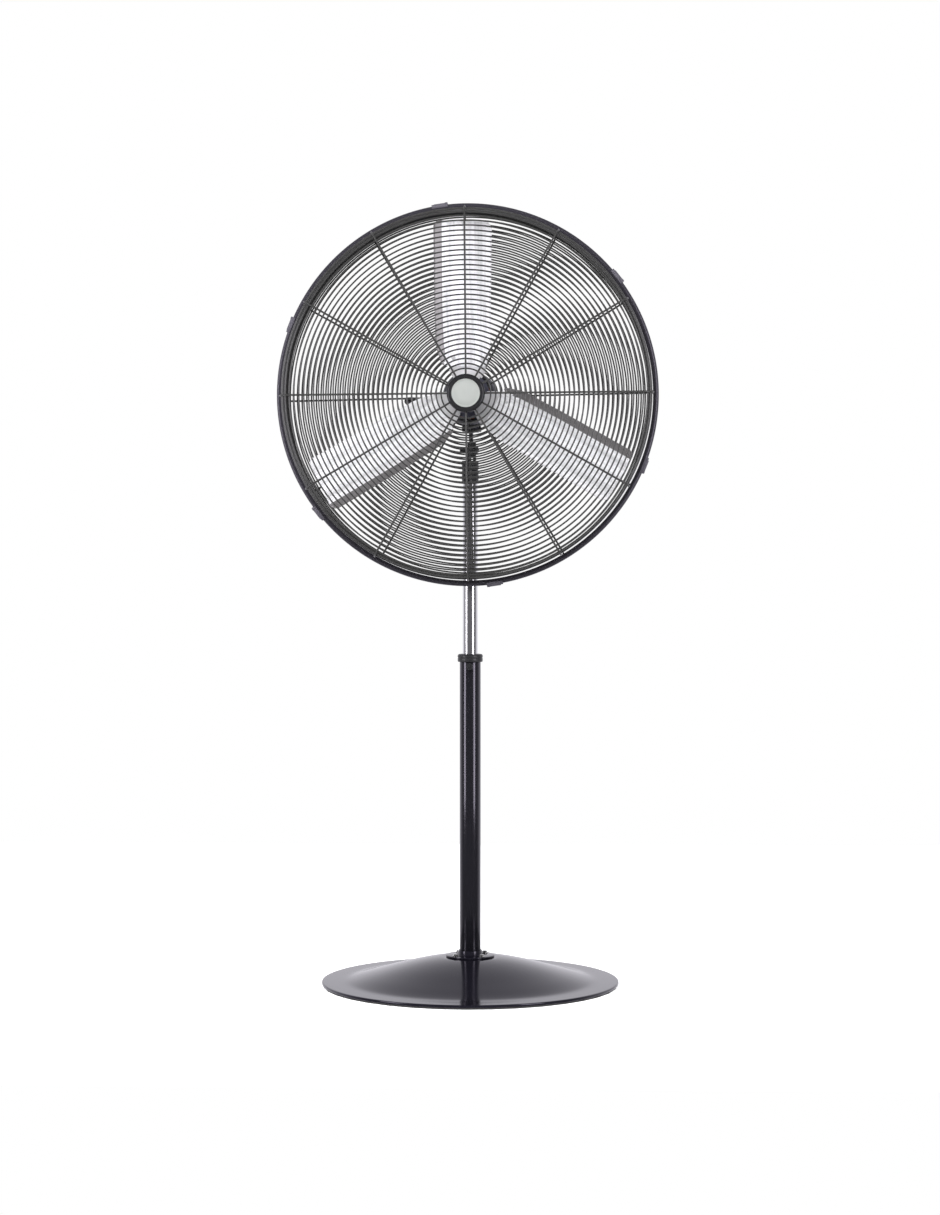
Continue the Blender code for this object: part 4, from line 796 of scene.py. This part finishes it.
def cageRun(start):
    side, deep = cageSizes["side"], cageSizes["depth"]
    bend = interpolate_bezier(
        Vector((side - 0.029, deep - 0.0004, 0)), Vector((side - 0.01, deep - 0.001, 0)),
        Vector((side - 0.0008, deep - 0.009, 0)), Vector((side - 0.0006, deep - 0.026, 0)), 14,
    )
    flare = interpolate_bezier(
        Vector((side, 0.012, 0)), Vector((side, 0.007, 0)), Vector((side + 0.001, 0.0045, 0)),
        Vector((cageSizes["rimCircle"], cageSizes["rimOffset"] + 0.0003, 0)), 8,
    )
    return [(start, deep)] + [(p.x, p.y) for p in bend] + [(p.x, p.y) for p in flare]


def ringPlaces():
    # places a pitch apart along the spokes' inner side
    run = cageRun(cageSizes["firstRing"])
    lift = cageSizes["spoke"] + cageSizes["ringWire"] - cageSizes["weld"]
    places = []
    for i in range(cageSizes["rings"]):
        left = i * cageSizes["ringPitch"]
        for (r0, d0), (r1, d1) in zip(run, run[1:]):
            length = math.hypot(r1 - r0, d1 - d0)
            if left <= length:
                across, down = (r1 - r0) / length, (d1 - d0) / length
                places.append((r0 + across * left + down * lift, d0 + down * left - across * lift))
                break
            left -= length
    return places


def ringShape(radius, height, wire, steps, sides):
    bm = bmesh.new()
    section = bmesh.ops.create_circle(bm, cap_ends=False, segments=sides, radius=wire)["verts"]
    bmesh.ops.rotate(bm, verts=section, cent=(0, 0, 0), matrix=Matrix.Rotation(math.pi / 2, 3, "X"))
    bmesh.ops.translate(bm, verts=section, vec=(radius, 0, height))
    bmesh.ops.spin(bm, geom=bm.verts[:] + bm.edges[:], cent=(0, 0, 0), axis=(0, 0, 1), angle=fullTurn, steps=steps,
                   use_merge=True)
    bmesh.ops.remove_doubles(bm, verts=bm.verts[:], dist=0.000005)
    bmesh.ops.recalc_face_normals(bm, faces=bm.faces[:])
    return bm


def makeGuard(name, side, roll, plates, start, stands):
    shapes = []
    for i in range(cageSizes["spokes"]):
        spoke = wireShape(cageRun(start), cageSizes["spoke"])
        shapes.append(moved(spoke, Matrix.Rotation(fullTurn * i / cageSizes["spokes"], 4, "Z")))
    for radius, depth in ringPlaces():
        steps = cageSizes["ringSteps"] if radius > 0.12 else cageSizes["ringSteps"] * 2 // 3
        shapes.append(ringShape(radius, depth, cageSizes["ringWire"], steps, cageSizes["ringSides"]))
    shapes.append(ringShape(cageSizes["rimCircle"], cageSizes["rimOffset"], cageSizes["rimWire"], 180, 10))
    wires = moved(added(*shapes), Matrix.Diagonal((1, 1, side, 1)))
    wires = moved(wires, Matrix.Translation((0, 0, rimPlane)))
    whole = moved(added(wires, *plates), headPlace @ Matrix.Rotation(math.radians(roll), 4, "Z"))
    pieceFrom(name, whole, "head", wireEnamel, stands, smooth=50)


bandSizes = {"outer": 0.3979, "inner": 0.386, "half": 0.0094, "wall": 0.0014, "corner": 0.006}


def makeCage():
    frontPlane = rimPlane + cageSizes["depth"]
    profile = [(0, frontPlane - 0.0042), (0.0345, frontPlane - 0.0042), (0.036, frontPlane - 0.003),
               (0.036, frontPlane - 0.0012), (0, frontPlane - 0.0012)]
    plate = softenEdges(spunShape(profile, 64, closed=False), 0.0004)
    makeGuard("frontGuard", 1, 0.5, [plate], 0.022, ["front_guard"])
    back = 0.0693
    profile = [(0.0263, back), (0.0405, back), (0.0405, back + 0.0016), (0.0385, back + 0.002),
               (0.0263, back + 0.002)]
    makeGuard("rearGuard", -1, 1.25, [softenEdges(spunShape(profile, 64), 0.0003)], 0.0368, ["rear_guard"])

    outer, inner, half, wall, corner = (bandSizes[part] for part in ("outer", "inner", "half", "wall", "corner"))
    face = arcPoints((outer - corner, half - corner), corner, 90, 0, 8)
    profile = [(inner, half - 0.004), (inner + 0.0004, half - 0.0024), (inner + 0.0014, half - 0.001)] + face
    profile += [(x, -y) for x, y in reversed(profile)]
    outside = [(x, rimPlane + y) for x, y in profile]
    bm = spunShape(outside, 240, closed=False)
    bmesh.ops.recalc_face_normals(bm, faces=bm.faces[:])
    band = pieceFrom("rimBand", moved(bm, headPlace), "head", bandEnamel, ["rim_band"], smooth=50)
    solid = band.modifiers.new("wall", "SOLIDIFY")
    solid.thickness = wall
    solid.offset = -1

    for i in range(6):
        makeClip(i)


clipSizes = {"seat": 0.3983, "side": 0.0098, "first": 38.3, "length": 0.034, "wall": 0.0016, "leg": 0.0062,
             "rise": 0.0033}


def makeClip(index):
    # a bent strip over the band, with a pressed rib and hooked ends
    seat, side, wall = clipSizes["seat"], clipSizes["side"], clipSizes["wall"]
    far, leg, back, bend = side + wall, seat - clipSizes["leg"], seat + wall, 0.0014
    outline = [(seat, -side), (leg, -side), (leg, -far), (back - bend, -far), (back, -far + bend),
               (back, far - bend), (back - bend, far), (leg, far), (leg, side), (seat, side)]
    half = clipSizes["length"] / 2
    strip = slabShape(outline, -half, half, 0.0004)
    rise = seat + clipSizes["rise"]
    rib = slabShape([(seat + 0.001, -0.0045), (rise, -0.003), (rise, 0.003), (seat + 0.001, 0.0045)],
                    -half * 0.72, half * 0.72, 0.0007)
    hook = slabShape([(seat + 0.0012, -0.007), (seat + 0.0037, -0.007), (seat + 0.0037, 0.007),
                      (seat + 0.0012, 0.007)], half - 0.006, half - 0.0004, 0.0008)
    turn = Matrix.Rotation(math.radians(clipSizes["first"] + 60 * index), 4, "Z")
    place = headPlace @ Matrix.Translation((0, 0, rimPlane)) @ turn @ Matrix.Rotation(math.pi / 2, 4, "X")
    pieceFrom(f"springClip{index + 1}", moved(added(strip, rib, hook), place), "head", clipZinc,
              [f"rim_clip_{index + 1}"])


makeCage()

capSizes = {"radius": 0.0394, "badge": 0.0292, "badgeFace": 0.0252}


def makeCap():
    back, front = depthSpan("hub_cap")
    radius = capSizes["radius"]
    profile = [(0, back), (radius - 0.0006, back), (radius, back + 0.0006), (radius, back + 0.0062),
               (radius - 0.0008, front - 0.0036), (radius - 0.0026, front - 0.0012),
               (radius - 0.005, front - 0.0001),
               (radius - 0.007, front - 0.0002), (0.0306, front - 0.0006), (0.03, front - 0.001),
               (0.0296, front - 0.0022), (0.0294, front - 0.0024), (0, front - 0.0024)]
    bm = softenEdges(spunShape(profile, 96, closed=False), 0.0002, 1, 50)
    pieceFrom("hubCap", moved(bm, headPlace), "head", glossPlastic, ["hub_cap"], smooth=40)
    rim, face = capSizes["badge"], capSizes["badgeFace"]
    profile = [(0, front - 0.0022), (rim, front - 0.0022), (rim, front - 0.0008), (rim - 0.0004, front - 0.0004),
               (rim - 0.001, front - 0.0005), (face + 0.0006, front - 0.0016), (face, front - 0.0017),
               (face - 0.0006, front - 0.0013), (0.014, front - 0.0011), (0, front - 0.001)]
    bm = spunShape(profile, 96, closed=False)
    pieceFrom("hubBadge", moved(bm, headPlace), "head", silverFoil, ["hub_badge"], smooth=40)


makeCap()
print("cage is made")

# Rotor: a pressed spider, three cambered blades with domed rivets, shaft and nut

bladeSizes = {
    "left": 0.074, "right": 0.052, "root": 0.06, "tip": 0.362, "flat": 0.1, "rootWidth": 0.84,
    "fold": 0.02, "foldDrop": 0.0042,
    "pitch": 28.0, "twist": 8.0, "camber": 0.01, "thickness": 0.0012, "lift": 0.0024,
    "across": 28, "along": 40, "rivets": 0.034, "rivetCircle": 0.077,
}


def bladeSeat(index):
    turn = Matrix.Rotation(fullTurn * index / 3, 4, "Z")
    pitch = Matrix.Rotation(math.radians(bladeSizes["pitch"]), 4, "Y")
    return headPlace @ Matrix.Translation((0, 0, bladePlane)) @ turn @ pitch


def bladeShape():
    s = bladeSizes
    bm = bmesh.new()
    bmesh.ops.create_grid(bm, x_segments=s["across"], y_segments=s["along"], size=0.5)
    sheet = bm.loops.layers.uv.new("sheet")
    for vert in bm.verts:
        across, reach = vert.co.x + 0.5, vert.co.y + 0.5
        far = s["root"] + (s["tip"] - s["root"]) * reach
        blend = min(1.0, max(0.0, (far - s["flat"]) / (s["tip"] - s["flat"])))
        widen = min(1.0, (far - s["root"]) / (s["flat"] - s["root"]))
        width = s["rootWidth"] + (1 - s["rootWidth"]) * widen
        x = (-s["left"] + (s["left"] + s["right"]) * across) * width
        bend = min(1.0, blend * 3)
        z = -s["camber"] * (1 - (2 * across - 1) ** 2) * bend
        # the trailing edge is folded back
        z -= s["foldDrop"] * max(0.0, 1 - (x + s["left"]) / s["fold"]) * bend
        # the tip's corners are rounded off
        edge = abs(2 * across - 1)
        far -= 0.012 * max(0.0, (edge - 0.82) / 0.18) ** 2 * max(0.0, (reach - 0.9) / 0.1)
        far += 0.006 * max(0.0, (edge - 0.82) / 0.18) ** 2 * max(0.0, (0.1 - reach) / 0.1)
        turn = math.radians(s["twist"]) * blend
        vert.co = (x * math.cos(turn) - z * math.sin(turn), far, x * math.sin(turn) + z * math.cos(turn) + s["lift"])
    for face in bm.faces:
        for loop in face.loops:
            loop[sheet].uv = (loop.vert.co.x, loop.vert.co.y)
    return bm


def domeShape(radius, rise, low):
    profile = [(0, low + rise), (radius * 0.42, low + rise * 0.88), (radius * 0.74, low + rise * 0.55),
               (radius * 0.94, low + rise * 0.18), (radius, low), (0, low)]
    return spunShape(profile, 24, closed=False)


def makeRotor():
    back, front = depthSpan("motor_shaft")
    profile = [(0, back), (0.0078, back), (0.008, back + 0.0005), (0.008, 0.0), (0.012, 0.0), (0.012, 0.036),
               (0.008, 0.036), (0.008, front - 0.001), (0.007, front), (0, front)]
    shaft = spunShape(profile, 40, closed=False)
    pieceFrom("motorShaft", moved(shaft, headPlace), "rotor", zincPlate, ["motor_shaft"])

    plane = bladePlane
    profile = [(0.0083, plane - 0.027), (0.017, plane - 0.027), (0.018, plane - 0.026), (0.018, plane - 0.0035),
               (0.0195, plane - 0.002), (0.026, plane - 0.002), (0.028, plane - 0.0008), (0.039, plane - 0.0008),
               (0.041, plane - 0.002), (0.0455, plane - 0.002), (0.046, plane - 0.0015), (0.046, plane + 0.0015),
               (0.0455, plane + 0.002), (0.041, plane + 0.002), (0.039, plane + 0.0009),
               (0.028, plane + 0.0009), (0.026, plane + 0.002), (0.0195, plane + 0.002),
               (0.018, plane + 0.0035), (0.018, plane + 0.015), (0.017, plane + 0.016), (0.0083, plane + 0.016)]
    hub = moved(spunShape(profile, 80), headPlace)
    arms = []
    for i in range(3):
        outline = [(-0.03, 0.032), (0.03, 0.032), (0.0415, 0.05), (0.0415, 0.088)]
        outline += arcPoints((0.0335, 0.0878), 0.008, 0, 90, 6) + arcPoints((-0.0335, 0.0878), 0.008, 90, 180, 6)
        outline += [(-0.0415, 0.05)]
        arm = slabShape(outline, -0.0015, 0.0015, 0.0004)
        rib = slabShape([(-0.004, 0.04), (0.004, 0.04), (0.004, 0.066), (-0.004, 0.066)], -0.003, -0.0014, 0.0007)
        arms.append(moved(added(arm, rib), bladeSeat(i)))
    spider = pieceFrom("bladeHub", added(hub, *arms), "rotor", motorEnamel, ["blade_hub"])
    # the pressed arms are bare sheet, and so is the disc's face where they start
    spider.data.materials.append(rivetAlloy["material"])
    for face in spider.data.polygons:
        x, z = face.center.x, face.center.z - axisHeight
        reach = math.hypot(x, z)
        fromArm = abs((math.degrees(math.atan2(z, x)) - 90 + 60) % 120 - 60)
        ahead = -face.center.y - bladePlane
        onArm = reach > 0.0462 or (reach > 0.0262 and fromArm < 38 and ahead > 0)
        face.material_index = int(onArm)

    nut = hexShape(0.013, *depthSpan("hub_nut"), 0.0009)
    pieceFrom("hubNut", moved(nut, headPlace), "rotor", zincPlate, ["hub_nut"])

    for i in range(3):
        blade = pieceFrom(f"fanBlade{i + 1}", moved(bladeShape(), bladeSeat(i)), "rotor", rolledSheet,
                          [f"blade_{i + 1}"], smooth=70)
        # the folded strip takes the darker copy of the sheet, which is painted shade
        blade.data.materials.append(paintedShadeFold["material"])
        sheet = blade.data.uv_layers["sheet"].data
        for face in blade.data.polygons:
            middle = sum(sheet[i].uv.x for i in face.loop_indices) / face.loop_total
            face.material_index = int(middle < bladeSizes["fold"] - bladeSizes["left"])
        wall = blade.modifiers.new("wall", "SOLIDIFY")
        wall.thickness = bladeSizes["thickness"]
        wall.offset = 0
        lip = blade.modifiers.new("lip", "BEVEL")
        lip.width = 0.0003
        lip.segments = 2
        lip.limit_method = "ANGLE"
        shapes = []
        top = bladeSizes["lift"] + bladeSizes["thickness"] / 2
        for x in (-bladeSizes["rivets"], bladeSizes["rivets"]):
            dome = domeShape(0.0051, 0.0022, top + 0.0002)
            shank = rodShape(0.0021, -0.002, top + 0.0004, 16)
            shapes.append(moved(added(dome, shank), Matrix.Translation((x, bladeSizes["rivetCircle"], 0))))
        reach, width, circle = bladeSizes["rivets"] + 0.005, 0.0051, bladeSizes["rivetCircle"]
        outline = arcPoints((reach - width, circle), width, -90, 90, 8)
        outline += arcPoints((width - reach, circle), width, 90, 270, 8)
        shapes.append(slabShape(outline, -0.0033, -0.0018, 0.0003))
        pieceFrom(f"rivetPair{i + 1}", moved(added(*shapes), bladeSeat(i)), "rotor", rivetAlloy,
                  [f"rivet_strip_{i + 1}"])


makeRotor()
print("rotor is made")

# CAD pieces whose shape stays get their finish

keptFinishes = {
    "floor_ring": footRubber, "base_ballast": castIron, "slide_bush": mouldedPlastic, "tube_foot": mouldedPlastic,
    "stator_core": stackedSteel, "rotor_core": stackedSteel, "stator_winding": varnishedCopper,
    "bearing_front": zincPlate, "bearing_rear": zincPlate, "speed_switch": mouldedPlastic, "capacitor": greyCan,
}
for nodeName, finish in keptFinishes.items():
    kept = frame["nodes"][nodeName]
    for materialSlot in kept.material_slots:
        materialSlot.material = finish["material"]

# Stage: a pale floor, a white room and soft boxes in front

stageSizes = {"floor": 2.6, "front": -1.1}

bm = bmesh.new()
bmesh.ops.create_grid(bm, x_segments=1, y_segments=1, size=stageSizes["floor"])
for vert in bm.verts:
    vert.co.y = max(vert.co.y, stageSizes["front"])
    vert.co.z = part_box("floor_ring")[0].z - 0.0005
floorMesh = bpy.data.meshes.new("paleFloor")
bm.to_mesh(floorMesh)
bm.free()
paleFloor = bpy.data.objects.new("paleFloor", floorMesh)
scene.collection.objects.link(paleFloor)
floorPaint = bpy.data.materials.new("paleFloor")
floorPaint.use_nodes = True
floorShader = floorPaint.node_tree.nodes["Principled BSDF"].inputs
floorShader["Base Color"].default_value = (0.93, 0.93, 0.93, 1)
floorShader["Roughness"].default_value = 0.9
floorShader["Emission Color"].default_value = (1, 1, 1, 1)
floorShader["Emission Strength"].default_value = 0.65
floorMesh.materials.append(floorPaint)
paleFloor.visible_glossy = False

softBoxes = {
    "leftBox": {"place": (-2.3, -1.4, 1.2), "size": (0.75, 2.2), "power": 28, "tint": (0.97, 0.94, 1.0)},
    "rightBox": {"place": (1.75, -1.6, 1.2), "size": (0.7, 2.2), "power": 24, "tint": (0.97, 0.94, 1.0)},
    "frontFill": {"place": (-0.6, -4.6, 2.4), "size": (3.0, 2.4), "power": 430, "tint": (1.0, 0.99, 1.0)},
    "topFill": {"place": (0.0, -0.4, 3.6), "size": (2.4, 2.0), "power": 60, "tint": (1.0, 1.0, 1.0)},
}
for name, box in softBoxes.items():
    light = bpy.data.lights.new(name, "AREA")
    light.shape = "RECTANGLE"
    light.size, light.size_y = box["size"]
    light.energy = box["power"]
    light.color = box["tint"]
    lamp = bpy.data.objects.new(name, light)
    scene.collection.objects.link(lamp)
    lamp.location = box["place"]
    aim = Vector((0, 0, 0.95)) - lamp.location
    lamp.rotation_euler = aim.to_track_quat("-Z", "Y").to_euler()
    lamp.visible_camera = False
    lamp.visible_glossy = not name.endswith("Fill")

room = bpy.data.worlds.new("whiteRoom")
scene.world = room
room.use_nodes = True
tree = room.node_tree
outlet = tree.nodes["Background"]
where = tree.nodes.new("ShaderNodeTexCoord")
split = tree.nodes.new("ShaderNodeSeparateXYZ")
tree.links.new(where.outputs["Generated"], split.inputs[0])
behind = node(tree, "ShaderNodeMapRange", From_Min=-0.05, From_Max=0.6, To_Min=0.17, To_Max=1.0)
tree.links.new(split.outputs["Y"], behind.inputs["Value"])     # dark in front of the fan, white behind it
above = node(tree, "ShaderNodeMapRange", From_Min=0.2, From_Max=0.85, To_Min=1.0, To_Max=0.32)
tree.links.new(split.outputs["Z"], above.inputs["Value"])      # and darker high up
reflected = mathNode(tree, "MULTIPLY", behind.outputs[0], above.outputs[0])
rays = tree.nodes.new("ShaderNodeLightPath")
seen = tree.nodes.new("ShaderNodeMix")
tree.links.new(rays.outputs["Is Camera Ray"], seen.inputs["Factor"])
tree.links.new(reflected, seen.inputs["A"])
seen.inputs["B"].default_value = 1.0
tree.links.new(seen.outputs["Result"], outlet.inputs["Strength"])
tone = tree.nodes.new("ShaderNodeMix")
tone.data_type = "RGBA"
tree.links.new(rays.outputs["Is Camera Ray"], tone.inputs[0])
tone.inputs[6].default_value = (0.95, 0.935, 1.0, 1)
tone.inputs[7].default_value = (1, 1, 1, 1)
tree.links.new(tone.outputs[2], outlet.inputs["Color"])
print("stage is made")
